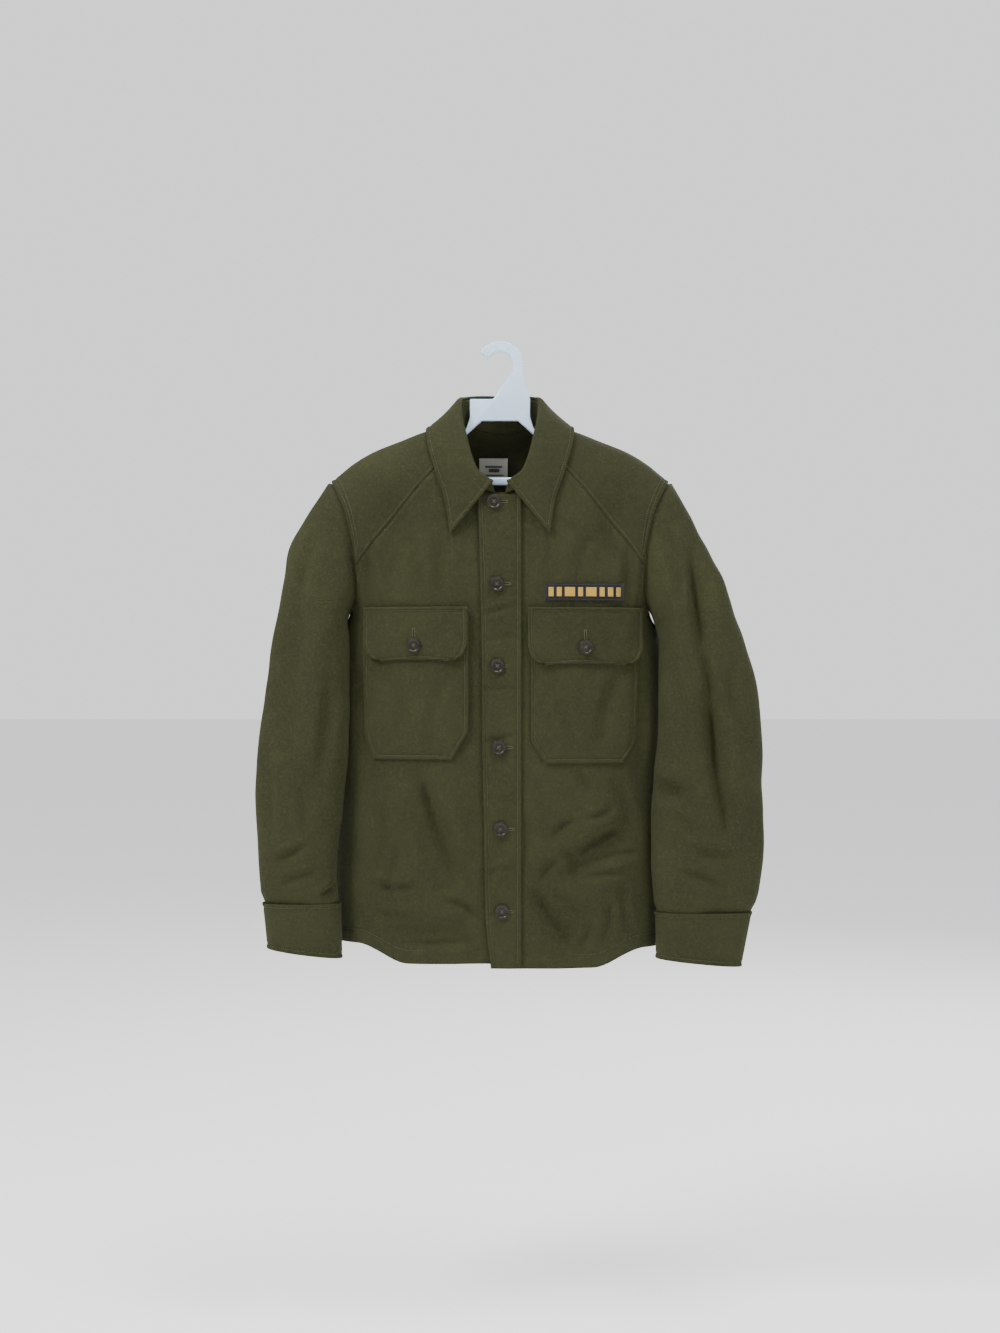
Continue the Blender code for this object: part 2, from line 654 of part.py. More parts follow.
def sleeve_points(side, table, cuff, grain):
    """Give a sleeve's rings, from under the armhole seam to inside the cuff."""
    angles = np.arange(ARM_DIVISIONS) * 2 * math.pi / ARM_DIVISIONS
    rings = sleeve_head(side, angles)
    stations = np.linspace(1, table["station"][-1], grain["sleeve_rows"])
    for station in stations:
        row = {key: float(smooth(table, "station", key, station)) for key in table}
        rings.append(ellipse_ring((side * row["outer_x"], row["outer_z"]),
                                  (side * row["inner_x"], row["inner_z"]), row["depth"],
                                  row["middle"], row["bow"], side, angles))
    turn = (angles - cuff_start()) % (2 * math.pi)
    closing = ease(turn, CUFF_CLOSE_FROM, CUFF_CLOSE_TO)
    inset = underlap_inset(turn) + LAYER * (1 + closing)
    for share in (CUFF_LAP_START, CUFF_LAP):
        outer, inner = cuff_edges(cuff, share)
        rings.append(ellipse_ring(outer, inner, cuff["depth"], cuff["middle"], 0.0, side,
                                  angles, inset))
    return sleeve_folded(np.array(rings), side)


def sleeve_folded(grid, side):
    """Press the folds of one sleeve into its rings."""
    middle = grid.mean(axis=1, keepdims=True)
    out = grid - middle
    out[..., 2] = 0.0
    out /= np.maximum(np.linalg.norm(out, axis=-1, keepdims=True), 1e-6)
    facing = (grid[..., 1] - middle[..., 1]) / SLEEVE_HALF_DEPTH
    for fold_side, face, *fold in SLEEVE_FOLDS:
        if (fold_side == "right") == (side > 0):
            share = ease(-facing if face == "front" else facing, 0.0, SLEEVE_FACE_SHARE)
            grid = grid + out * (trough(grid[..., 0], grid[..., 2], fold) * share)[..., None]
    return grid


def cuff_edges(cuff, share):
    """Give a cuff's outer and inner edge at a share of its height, from its seam down."""
    return [(cuff[edge] + (cuff[f"{edge}_end"] - cuff[edge]) * share,
             cuff["top"] + (cuff[f"{edge}_bottom"] - cuff["top"]) * share)
            for edge in ("outer", "inner")]


def cuff_points(side, cuff, grain):
    """Give a cuff as a strip that goes round and laps over its own end."""
    turn = np.arange(ARM_DIVISIONS + CUFF_EXTRA + 1) * 2 * math.pi / ARM_DIVISIONS
    angles = cuff_start() + turn
    inset = underlap_inset(turn)
    rows = []
    for share in np.linspace(0, 1, grain["cuff_rows"]):
        outer, inner = cuff_edges(cuff, share)
        rows.append(ellipse_ring(outer, inner, cuff["depth"], cuff["middle"], 0.0, side,
                                 angles, inset))
    return np.array(rows)


def collar_lines(turns, side):
    """Give the neck seam, stand top, rise, outward direction and fall edge round the neck."""
    ring_x, ring_over = neck_ring(turns)
    seam = over_points(side * ring_x, ring_over)
    top = np.stack([side * smooth(STAND_TOP, "turn", "x", turns),
                    smooth(STAND_TOP, "turn", "y", turns),
                    smooth(STAND_TOP, "turn", "z", turns)], axis=-1)
    along = np.gradient(top, axis=0)
    out = np.cross(along, top - seam)
    out /= np.linalg.norm(out, axis=-1, keepdims=True)
    out *= np.sign(np.sum(out * top * (1.0, 1.0, 0.0), axis=-1, keepdims=True))
    rise = np.cross(out, along)
    rise /= np.linalg.norm(rise, axis=-1, keepdims=True)
    rise *= np.sign(np.sum(rise * (top - seam), axis=-1, keepdims=True))
    edge_x = side * smooth(FALL_EDGE, "turn", "half", turns)
    edge = over_points(edge_x, smooth(FALL_EDGE, "turn", "over", turns), FALL_LAYER)
    return seam, top, rise, out, edge


def collar_turns(grain):
    """Spread columns round half the neck, from the front end to the middle of the back."""
    return np.linspace(STAND_TOP["turn"][0], 180, grain["collar_columns"])


def both_halves(grain, rows_at):
    """Join the left half and the mirrored right half of a collar piece."""
    turns = collar_turns(grain)
    left, right = rows_at(turns, -1), rows_at(turns, 1)
    return np.concatenate([left, right[:, -2::-1]], axis=1)


def stand_rows(grain):
    """Give the rows of the collar stand, from just above the neck seam to its top."""
    def rows_at(turns, side):
        seam, top = collar_lines(turns, side)[:2]
        up = top - seam
        length = np.linalg.norm(up, axis=-1, keepdims=True)
        start = seam + up / length * STAND_START
        share = np.linspace(0, 1, grain["stand_rows"])[:, None, None]
        return start + (top - start) * share
    return both_halves(grain, rows_at)


def fall_rows(grain):
    """Give the rows of the collar fall: over the roll, then down to its outer edge."""
    def rows_at(turns, side):
        _, top, rise, out, edge = collar_lines(turns, side)
        roll = [top + rise * height + out * reach for height, reach in FALL_ROLL]
        share = np.linspace(0, 1, grain["fall_rows"])[1:, None, None]
        leaf = roll[-1] + (edge - roll[-1]) * share
        over_stand = STAND_CLEAR * (1 - ease(share[..., 0], STAND_CLEAR_FROM, STAND_CLEAR_TO))
        over_band = 1 - ease(np.abs(leaf[..., 0]), BAND_CLEAR_FROM, BAND_CLEAR_TO)
        clearance = FALL_LAYER + LAYER * np.maximum(over_stand, over_band)
        leaf = clear_of_body(leaf, clearance)
        return np.concatenate([np.array(roll), leaf])
    return both_halves(grain, rows_at)


def patch(rows, face, offset, columns, lift=None):
    """Give a flat piece that lies on the body: rows of height, left and right edge."""
    rows = np.asarray(rows, dtype=float)
    share = np.linspace(0, 1, columns)
    closing = smooth(BODY, "height", "side", rows[:, 0:1])
    reach = np.arcsin(rows[:, 1:] / closing)
    x = closing * np.sin(reach[:, 0:1] + (reach[:, 1:2] - reach[:, 0:1]) * share)
    z = np.repeat(rows[:, 0:1], columns, axis=1)
    raised = offset if lift is None else offset + lift(share[None, :], z)
    return body_points(x, z, face, raised)


def pocket_outline(pocket, grain):
    """Give a pocket's rows, from its top to the corners that are cut off at its bottom."""
    heights = np.linspace(pocket["top"], pocket["cut"], grain["pocket_rows"])
    rows = [(z, pocket["left"], pocket["right"]) for z in heights]
    middle = (pocket["cut"] + pocket["bottom"]) / 2
    rows.append((middle, (pocket["left"] + pocket["bottom_left"]) / 2,
                 (pocket["right"] + pocket["bottom_right"]) / 2))
    rows.append((pocket["bottom"], pocket["bottom_left"], pocket["bottom_right"]))
    return rows


def flap_outline(flap, grain):
    """Give a flap's rows, from its top to its rounded lower corners."""
    heights = np.linspace(flap["top"], flap["side"], grain["flap_rows"])
    rows = [(z, flap["left"], flap["right"]) for z in heights]
    for angle in np.radians(FLAP_CORNER_TURNS):
        drop = (flap["bottom"] - flap["side"]) * math.sin(angle)
        draw = FLAP_CORNER * (1 - math.cos(angle))
        rows.append((flap["side"] + drop, flap["left"] + draw, flap["right"] - draw))
    return rows


def flap_lift(flap):
    """Let a flap's lower corners stand a little proud of the pocket."""
    def lift(share, z):
        low = ease(flap["top"] - z, FLAP_CURL_START, flap["top"] - flap["bottom"])
        return FLAP_CURL * low * np.abs(2 * share - 1) ** 4
    return lift


def box_rows(box, count):
    """Give the rows of a rectangular patch."""
    left, low, right, high = box
    return [(z, left, right) for z in np.linspace(low, high, count)]


def band_rows(heights):
    """Give the rows of the stitched band on the overlapping front's edge."""
    return [(z, band_edge(z) + BAND_INSET, BAND_RIGHT) for z in heights]


def button(name, seat, outward, finish, parts):
    """Make one turned button standing on its seat."""
    mesh = bpy.data.meshes.new(name)
    profile = [(x * MM, 0.0, z * MM) for x, z in BUTTON_PROFILE]
    mesh.from_pydata(profile, [(i, i + 1) for i in range(len(profile) - 1)], [])
    mesh.materials.append(finish)
    made = bpy.data.objects.new(name, mesh)
    parts.objects.link(made)
    made.location = [value * MM for value in seat + outward * BUTTON_SEAT]
    made.rotation_mode = "QUATERNION"
    made.rotation_quaternion = Vector(outward).to_track_quat("Z", "Y")
    turned = made.modifiers.new("Turned", "SCREW")
    turned.steps = turned.render_steps = BUTTON_SIDES
    turned.use_merge_vertices = True
    turned.merge_threshold = MERGE_DISTANCE * MM
    return made


def seat_on_body(x, z, face, offset):
    """Give the seat of a button on the body and the direction that it faces."""
    place = body_points(np.array([x]), np.array([z]), face, offset)
    return place[0], normals(place)[0]


def seat_on_cuff(cuff, side):
    """Give the seat of a cuff's button, on its overlapping end, and where it faces."""
    step = 2 * math.pi / ARM_DIVISIONS
    turn = cuff_start() + np.array([0.0, 1.0]) * step
    rings = [ellipse_ring(*cuff_edges(cuff, share), cuff["depth"], cuff["middle"], 0.0, side, turn)
             for share in CUFF_BUTTON_SHARES]
    facing = np.cross(rings[0][1] - rings[0][0], rings[1][0] - rings[0][0]) * side
    return np.mean(rings, axis=(0, 1)), facing / np.linalg.norm(facing)


def hanger_outline():
    """Give the outline of the hook, neck plate and arms, seen from the front."""
    outer = HOOK_INNER + HOOK_WIDTH
    turns = np.radians(np.linspace(HOOK_END_ANGLE, 0.0, HOOK_STEPS))
    arms_x = np.linspace(ARM_START, ARM_REACH, ARM_POINTS)
    arms_top = smooth(SHOULDER, "half", "height", arms_x) - HANGER_TOP_GAP
    tip_low = arms_top[-1] - ARM_DEPTH
    under_x = np.linspace(UNDER_START, UNDER_END, UNDER_POINTS)
    under_z = smooth(SHOULDER, "half", "height", under_x) - HANGER_TOP_GAP - ARM_DEPTH
    right = PLATE_RIGHT + list(zip(arms_x, arms_top))
    right += [(ARM_REACH + x, tip_low + z) for x, z in TIP_CORNERS]
    right += list(zip(under_x, under_z)) + [PLATE_UNDER]
    left = [(-x, z) for x, z in reversed(right[1:])]
    hook_out = [(outer * math.cos(a), outer * math.sin(a) - HOOK_INNER) for a in turns]
    hook_in = [(HOOK_INNER * math.cos(a), HOOK_INNER * math.sin(a) - HOOK_INNER)
               for a in reversed(turns)]
    return hook_out + right + left + PLATE_LEFT + hook_in, tip_low


def hanger(finish, parts):
    """Make the hanger: a flat moulding, and the bar between the ends of its arms."""
    points, tip_low = hanger_outline()
    curve = bpy.data.curves.new("hanger_body", "CURVE")
    curve.dimensions = "2D"
    curve.fill_mode = "BOTH"
    curve.extrude = HANGER_HALF_DEPTH * MM
    spline = curve.splines.new("POLY")
    spline.points.add(len(points) - 1)
    for spot, (x, z) in zip(spline.points, points):
        spot.co = (x * MM, z * MM, 0.0, 1.0)
    spline.use_cyclic_u = True
    curve.materials.append(finish)
    body = bpy.data.objects.new("hanger_body", curve)
    body.rotation_euler = (math.pi / 2, 0.0, 0.0)
    parts.objects.link(body)
    top = tip_low - BAR_GAP
    bpy.ops.mesh.primitive_cube_add(size=1.0, location=(0, 0, (top - BAR_HEIGHT / 2) * MM))
    bar = bpy.context.object
    bar.name = "hanger_bar"
    bar.scale = (2 * ARM_REACH * MM, 2 * BAR_HALF_DEPTH * MM, BAR_HEIGHT * MM)
    bpy.ops.object.transform_apply(location=False, rotation=False, scale=True)
    bar.data.materials.append(finish)
    for owner in bar.users_collection:
        owner.objects.unlink(bar)
    parts.objects.link(bar)
    edge = bar.modifiers.new("Rounded", "BEVEL")
    edge.width = BAR_ROUNDING * MM
    edge.segments = 2


def build():
    """Build the shirt and its hanger."""
    for left_over in list(bpy.data.objects):
        bpy.data.objects.remove(left_over)
    parts = collection_named("field_shirt")
    wool, horn, tape, label, plastic = [material(name, *finish)
                                        for name, finish in FINISHES.items()]
    front, back, upper_back = (0, -1, 0), (0, 1, 0), (0, 0.6, 0.8)

    left, right = front_panels(GRAIN)
    cloth("front_left", left, wool, parts, front)
    cloth("front_right", right, wool, parts, front)
    cloth("back", back_panel(GRAIN), wool, parts, back)
    cloth("yoke", yoke_panel(GRAIN), wool, parts, upper_back)
    cloth("collar_stand", stand_rows(GRAIN), wool, parts, front)
    cloth("collar_fall", fall_rows(GRAIN), wool, parts, back)
    band = band_rows(np.linspace(HEM_RIGHT + BAND_HEM_GAP, BAND_TOP, GRAIN["band_rows"]))
    band_grid = patch(band, "front", BAND_LAYER, GRAIN["band_columns"])
    cloth("button_band", band_grid, wool, parts, front)

    sides = (("left", -1, SLEEVE_LEFT, CUFF_LEFT, POCKET_LEFT, FLAP_LEFT),
             ("right", 1, SLEEVE_RIGHT, CUFF_RIGHT, POCKET_RIGHT, FLAP_RIGHT))
    for name, side, sleeve, cuff, pocket, flap in sides:
        sleeve_grid = sleeve_points(side, sleeve, cuff, GRAIN)
        cloth(f"sleeve_{name}", sleeve_grid, wool, parts, (side, 0, 0), around=True)
        cuff_grid = cuff_points(side, cuff, GRAIN)
        cloth(f"cuff_{name}", cuff_grid, wool, parts, front)
        seat, facing = seat_on_cuff(cuff, side)
        button(f"cuff_button_{name}", seat, facing, horn, parts)
        columns = GRAIN["pocket_columns"]
        pocket_grid = patch(pocket_outline(pocket, GRAIN), "front", LAYER, columns)
        cloth(f"pocket_{name}", pocket_grid, wool, parts, front)
        flap_grid = patch(flap_outline(flap, GRAIN), "front", 2 * LAYER, columns,
                          flap_lift(flap))
        cloth(f"flap_{name}", flap_grid, wool, parts, front)
        seat, facing = seat_on_body(*FLAP_BUTTONS[name], "front", 2 * LAYER)
        button(f"flap_button_{name}", seat, facing, horn, parts)

    for number, (x, z) in enumerate(FRONT_BUTTONS, start=1):
        seat, facing = seat_on_body(x, z, "front", BAND_LAYER)
        button(f"front_button_{number}", seat, facing, horn, parts)

    strip = patch(box_rows(STRIP_BOX, GRAIN["strip_rows"]), "front", LAP_GAP + STRIP_WALL,
                  GRAIN["strip_columns"])
    cloth("name_strip", strip, tape, parts, front, wall=STRIP_WALL)
    inside = patch(box_rows(LABEL_BOX, GRAIN["label_rows"]), "back", -LAYER,
                   GRAIN["label_columns"])
    cloth("neck_label", inside, label, parts, back, wall=LABEL_WALL)
    hanger(plastic, parts)


build()
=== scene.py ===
"""Looks of the field shirt on its hanger, laid out as a Blender add-on and run as a script.

Sizes are in millimetres and become metres when a mesh is made. +X is the viewer's right,
-Y is the front and +Z is up. The origin is the hang point inside the hanger's hook.
"""
import math

import bmesh
import bpy
import numpy as np
from bpy.props import FloatProperty, FloatVectorProperty, PointerProperty
from mathutils import Matrix, Vector


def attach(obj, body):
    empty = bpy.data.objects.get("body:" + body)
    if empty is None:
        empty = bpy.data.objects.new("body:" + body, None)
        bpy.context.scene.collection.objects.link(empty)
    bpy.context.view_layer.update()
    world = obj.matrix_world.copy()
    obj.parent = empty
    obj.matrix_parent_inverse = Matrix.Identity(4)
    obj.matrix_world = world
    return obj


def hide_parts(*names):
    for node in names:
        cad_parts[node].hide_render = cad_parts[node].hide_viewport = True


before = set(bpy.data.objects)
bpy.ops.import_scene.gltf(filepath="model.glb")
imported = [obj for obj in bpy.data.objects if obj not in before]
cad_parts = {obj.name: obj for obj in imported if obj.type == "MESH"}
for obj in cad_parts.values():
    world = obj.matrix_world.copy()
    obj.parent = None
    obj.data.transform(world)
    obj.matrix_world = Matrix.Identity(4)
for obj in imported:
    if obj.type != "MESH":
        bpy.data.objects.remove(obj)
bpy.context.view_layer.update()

bl_info = {
    "name": "Field Shirt on a Hanger",
    "version": (1, 0, 0),
    "blender": (4, 5, 0),
    "location": "View3D > Sidebar > Shirt",
    "description": "Builds a wool field shirt, its stitching and its hanger",
    "category": "Add Mesh",
}

MM = 0.001

# Cloth and seams
WALL = 1.8
SEAM_GAP = 0.35
SIDE_GAP = 1.3
LAP_GAP = 0.55
LAYER = WALL + LAP_GAP

# Neck, shoulder and body
NECK_HALF_WIDTH = 62.0
NECK_FRONT_TURN = -1.161
NECK_BACK_TURN = 0.336
YOKE_SEAM_TURN = 71.0
RIDGE_RADIUS = 75.0
ARM_TOP = -173.0
ARM_BOTTOM = -347.0
ARM_DIVISIONS = 120
YOKE_FRONT_DIVISION = 36
YOKE_BACK_DIVISION = 24
PILLOW = 0.5
UNDERLAP = 18.0
UNDERLAP_STEP = LAYER + 0.2
UNDERLAP_FROM = 42.0
UNDERLAP_TO = 66.0
SIDE_CLOSENESS = 0.62
SLOPE_STEP = 0.4
PUSH_ROUNDS = 3
SMALLEST = 1e-6
HEM_LEFT = -808.0
HEM_RIGHT = -814.0
HEM_BACK = -806.0
HEM_SIDE_RISE = 24.0
HEM_RISE_FROM = 120.0
HEM_RISE_TO = 190.0
HEM_RISE_POWER = 4

# Sections of the shoulder line: half-width and height
SHOULDER = {
    "half": [0.0, 62.0, 95.0, 132.0, 171.0, 197.0, 214.0, 224.0],
    "height": [-98.0, -99.0, -105.0, -119.0, -135.0, -151.0, -165.0, -173.0],
}

# Sections of the body: height, closing half-width, front and back depth, backward shear
BODY = {
    "height": [-825.0, -720.0, -600.0, -374.0, -347.0, -290.0, -230.0, -170.0, -90.0],
    "side": [216.0, 219.0, 215.0, 210.5, 199.0, 212.0, 246.0, 290.0, 330.0],
    "front": [41.0, 42.0, 44.0, 47.0, 48.0, 48.0, 47.0, 46.0, 44.0],
    "back": [33.0, 33.0, 34.0, 35.0, 36.0, 37.0, 38.0, 39.0, 40.0],
    "shear": [24.0, 24.0, 22.0, 18.0, 8.0, 3.0, 0.0, 0.0, 0.0],
}

# Armhole seam: height and half-width
ARMHOLE = {
    "height": [-347.0, -335.0, -312.0, -281.0, -248.0, -218.0, -195.0, -173.0],
    "half": [199.0, 191.5, 188.0, 190.0, 195.0, 202.5, 212.0, 224.0],
}

# Top of the collar stand, by turn round the neck from the front, in degrees
STAND_TOP = {
    "turn": [6.0, 30.0, 50.0, 70.0, 95.0, 130.0, 180.0],
    "x": [10.0, 30.0, 42.0, 50.0, 52.0, 42.0, 0.0],
    "y": [-50.0, -48.0, -40.0, -27.0, -6.0, 12.0, 22.0],
    "z": [-179.0, -164.0, -138.0, -104.0, -72.0, -62.0, -60.0],
}

# Outer edge of the collar fall, by the same turn: half-width and turn over the shoulder ridge
FALL_EDGE = {
    "turn": [6.0, 30.0, 55.0, 75.0, 90.0, 105.0, 130.0, 180.0],
    "half": [65.0, 73.0, 84.0, 95.0, 97.0, 92.0, 70.0, 0.0],
    "over": [-1.60, -1.19, -0.90, -0.50, -0.08, 0.20, 0.47, 0.56],
}

# Sleeve sections: outer and inner edge, half-depth, its middle, and bow towards the body
SLEEVE_LEFT = {
    "station": [1, 2, 3, 4, 5, 6, 7, 8, 9, 10, 11],
    "outer_x": [238, 258, 277, 291, 303, 312, 320, 324, 322, 318, 316],
    "outer_z": [-190, -222, -263, -325, -400, -465, -530, -585, -640, -690, -716],
    "inner_x": [203, 204, 203, 201, 200, 200, 202, 206, 212, 215, 214],
    "inner_z": [-351, -357, -366, -384, -425, -475, -535, -590, -642, -690, -716],
    "depth": [36, 37, 37, 36, 35, 34, 33, 32, 31, 30, 29],
    "middle": [2, 0, -3, -7, -11, -13, -14, -14, -14, -14, -14],
    "bow": [17, 12, 6, 2, 0, 0, 0, 0, 0, 0, 0],
}
SLEEVE_RIGHT = {
    "station": [1, 2, 3, 4, 5, 6, 7, 8, 9, 10, 11],
    "outer_x": [241, 264, 291, 318, 338, 347, 348, 348, 346, 341, 336],
    "outer_z": [-197, -240, -295, -365, -435, -500, -560, -620, -672, -712, -730],
    "inner_x": [203, 205, 207, 210, 209, 207, 203, 201, 201, 202, 204],
    "inner_z": [-351, -358, -369, -390, -440, -500, -560, -620, -672, -712, -730],
    "depth": [36, 37, 37, 36, 35, 34, 33, 32, 31, 30, 29],
    "middle": [2, 0, -3, -7, -11, -13, -14, -14, -14, -14, -14],
    "bow": [17, 12, 6, 2, 0, 0, 0, 0, 0, 0, 0],
}

# Cuffs: edges at the seam and at the free edge, half-depth and middle
CUFF_LEFT = {"outer": -314.0, "inner": -210.0, "top": -730.0, "outer_end": -308.0,
             "inner_end": -209.0, "outer_bottom": -790.0, "inner_bottom": -803.0,
             "depth": 28.0, "middle": -14.0}
CUFF_RIGHT = {"outer": 333.0, "inner": 205.0, "top": -742.0, "outer_end": 319.0,
              "inner_end": 206.0, "outer_bottom": -814.0, "inner_bottom": -803.0,
              "depth": 28.0, "middle": -14.0}

# Swelling beside a fold: share of its depth and place in widths
SWELL_SHARE = 0.45
SWELL_PLACE = 1.7

# Largest folds of fronts and back, by face: start, end, depth and width
FOLDS = {
    "front": [
        (-118, -560, -56, -720, 6, 20),
        (-158, -575, -128, -700, 4, 16),
        (80, -706, 168, -628, 6, 20),
        (45, -712, 100, -795, 5, 18),
        (-140, -770, -40, -768, 4, 16),
        (-150, -190, -130, -320, 3.5, 20),
        (148, -190, 132, -300, 3.5, 20),
    ],
    "back": [
        (-120, -250, -88, -560, 7, 26),
        (126, -250, 96, -600, 7, 26),
        (-60, -560, -20, -745, 5, 22),
        (70, -610, 120, -765, 5, 22),
    ],
}

# Largest folds of the sleeves, by side: face, start, end, depth and width
SLEEVE_FOLDS = {
    1: [
        ("front", 253, -265, 270, -440, 7, 16),
        ("front", 268, -430, 298, -640, 8, 15),
        ("front", 204, -575, 240, -586, 4, 13),
        ("back", 268, -330, 290, -620, 6, 18),
    ],
    -1: [
        ("front", -262, -300, -284, -560, 4.5, 19),
        ("back", -250, -320, -268, -600, 6, 18),
    ],
}

# Band: free edge of the overlapping front, by height
BAND = {
    "height": [-814.0, -761.0, -629.0, -540.0, -342.0, -211.0, -190.0],
    "edge": [-12.0, -18.0, -21.0, -23.0, -25.0, -29.0, -30.0],
}

# Band stitched on the free edge
BAND_RIGHT = 28.0
BAND_TOP = -193.0
BAND_LAYER = LAYER + 0.3
BAND_INSET = 0.4
BAND_HEM_GAP = 0.5

# Collar: roll as rise and reach, then clearances over stand and band
NECK_FRONT_CLEAR = 8.0
CENTRE_START = ARM_BOTTOM + 10.0
FALL_ROLL = [(0.7, 0.0), (3.4, 0.5), (4.8, 3.6), (2.8, 6.6)]
FALL_LAYER = LAYER + 1.2
STAND_START = 0.8
STAND_CLEAR = 1.2
STAND_CLEAR_FROM = 0.25
STAND_CLEAR_TO = 0.6
BAND_CLEAR_FROM = 28.0
BAND_CLEAR_TO = 42.0

# Sleeve head and cuff laps
SEAM_ROWS = 40
ARM_LAP = 7.0
ARM_LAYER = LAYER + 0.3
HEAD_STEP = ARM_LAP * 0.7
HEAD_SINK = LAYER * 0.1
SLEEVE_FULLNESS = 0.85
SLEEVE_HALF_DEPTH = 30.0
SLEEVE_FACE_SHARE = 0.6
CUFF_LAP = 0.12
CUFF_LAP_START = -0.036
CUFF_EXTRA = 12
CUFF_START_DIVISION = 78
CUFF_STEP_FROM = 0.15
CUFF_STEP_TO = 0.6
CUFF_CLOSE_FROM = 2 * math.pi - 0.5
CUFF_CLOSE_TO = 2 * math.pi - 0.1
CUFF_BUTTON_SHARES = (0.4, 0.6)

# Pockets and flaps: heights, left and right edge
POCKET_LEFT = {"top": -345.0, "left": -180.0, "right": -41.0, "cut": -503.0,
               "bottom": -540.0, "bottom_left": -166.0, "bottom_right": -63.0}
POCKET_RIGHT = {"top": -345.0, "left": 40.0, "right": 181.0, "cut": -515.0,
                "bottom": -545.0, "bottom_left": 59.0, "bottom_right": 160.0}
FLAP_LEFT = {"top": -340.0, "left": -178.0, "right": -42.0, "side": -381.0, "bottom": -410.0}
FLAP_RIGHT = {"top": -340.5, "left": 36.0, "right": 186.0, "side": -387.0, "bottom": -415.0}
FLAP_CORNER = 21.0
FLAP_CORNER_TURNS = tuple(range(8, 91, 6)) + (90,)
FLAP_CURL = 3.0
FLAP_CURL_START = 15.0

# Trim: lowest and highest corner seen from the front
STRIP_BOX = (58.5, -332.0, 162.0, -309.5)
LABEL_BOX = (-28.0, -172.0, 10.5, -137.5)
STRIP_WALL = 1.2
LABEL_WALL = 1.0

# Buttons: places seen from the front
FRONT_BUTTONS = [(-8.0, -203.0), (-4.0, -310.5), (-3.5, -417.5), (-1.5, -524.0),
                 (0.5, -631.0), (2.5, -738.5)]
FLAP_BUTTONS = {"left": (-112.0, -390.5), "right": (111.0, -393.0)}
BUTTON_SEAT = 0.35

# Creases seen at close range, by face: start, end, depth, width and bow to one side
CREASES = {
    "front": [
        (-112, -552, -57, -712, 2.6, 7, 4),
        (-145, -574, -118, -682, 2, 6.5, 5),
        (-175, -701, -106, -705, 1.8, 5.5, -7),
        (-76, -725, -21, -751, 2, 5.5, 5),
        (-132, -781, -36, -778, 1.7, 5, -3),
        (99, -664, 165, -628, 2.5, 6, 3),
        (127, -676, 185, -664, 1.8, 5.5, 3),
        (79, -656, 103, -687, 2, 5.5, 4),
        (78, -667, 51, -703, 1.8, 5.5, -3),
        (40, -703, 95, -785, 2.3, 6, -4),
        (61, -710, 115, -752, 1.8, 5.5, 3),
        (145, -724, 137, -780, 1.7, 6, 2),
        (99, -555, 120, -588, 1.7, 6, 2),
        (-100, -560, -84, -640, 1.6, 5, -3),
        (-66, -650, -40, -712, 1.5, 5.5, 3),
        (-160, -600, -150, -690, 1.5, 6, 3),
        (-130, -650, -150, -740, 1.4, 6, -4),
        (-60, -760, -30, -800, 1.3, 5.5, 2),
        (-165, -745, -100, -752, 1.5, 5.5, 4),
        (45, -575, 62, -640, 1.4, 6, 3),
        (108, -620, 150, -602, 1.5, 5.5, -3),
        (60, -650, 100, -618, 1.6, 5.5, 3),
        (110, -700, 168, -690, 1.7, 5.5, 4),
        (120, -745, 100, -800, 1.5, 5.5, 3),
        (160, -700, 172, -770, 1.4, 6, -3),
        (34, -600, 36, -690, 1.2, 5, 2),
        (-28, -352, 24, -340, 0.9, 4.5, 1),
        (-26, -384, 22, -378, 0.7, 4, -1),
        (-25, -450, 22, -448, 0.7, 4.5, 1.5),
        (-25, -516, 24, -508, 0.8, 4.5, -1),
        (-22, -690, 25, -682, 0.8, 4.5, 1),
        (-24, -590, 20, -596, 0.6, 4.5, 1),
        (-121, -238, -104, -336, 1.9, 9, 4),
        (-77, -238, -69, -336, 1.6, 9, -3),
        (71, -232, 60, -332, 1.7, 9, 3),
        (119, -243, 107, -300, 1.8, 9, -4),
        (168, -255, 160, -348, 2, 8, 3),
        (-173, -255, -166, -348, 2, 8, -3),
        (-150, -425, -121, -522, 1.3, 9, 3),
        (-70, -420, -90, -532, 1.3, 9, -4),
        (69, -425, 96, -536, 1.4, 9, 4),
        (151, -425, 134, -533, 1.3, 9, -3),
        (-40, -600, -34, -700, 1.3, 9, 3),
        (150, -560, 172, -620, 1.4, 8, 2),
        (-186, -400, -180, -560, 1.5, 9, 2),
        (188, -420, 182, -580, 1.5, 9, -2),
    ],
    "back": [
        (-152, -258, -120, -425, 2.2, 9, 5),
        (152, -268, 117, -445, 2.2, 9, -5),
        (-42, -258, -30, -425, 1.7, 10, 4),
        (46, -254, 40, -402, 1.7, 10, -4),
        (-101, -468, -58, -645, 2.2, 8, 5),
        (18, -518, 62, -692, 2.1, 8, -5),
        (-152, -640, -88, -762, 2.1, 7, 4),
        (108, -598, 152, -742, 2.1, 7, -4),
        (-22, -702, 62, -770, 1.8, 6.5, 4),
        (-2, -330, 12, -520, 1.5, 11, 5),
        (-60, -760, -140, -778, 1.6, 6, -3),
        (90, -470, 150, -520, 1.7, 7, 3),
        (-90, -120, -96, -215, 1.4, 10, 3),
        (92, -122, 90, -212, 1.4, 10, -3),
        (0, -140, -4, -222, 1, 12, 2),
    ],
}

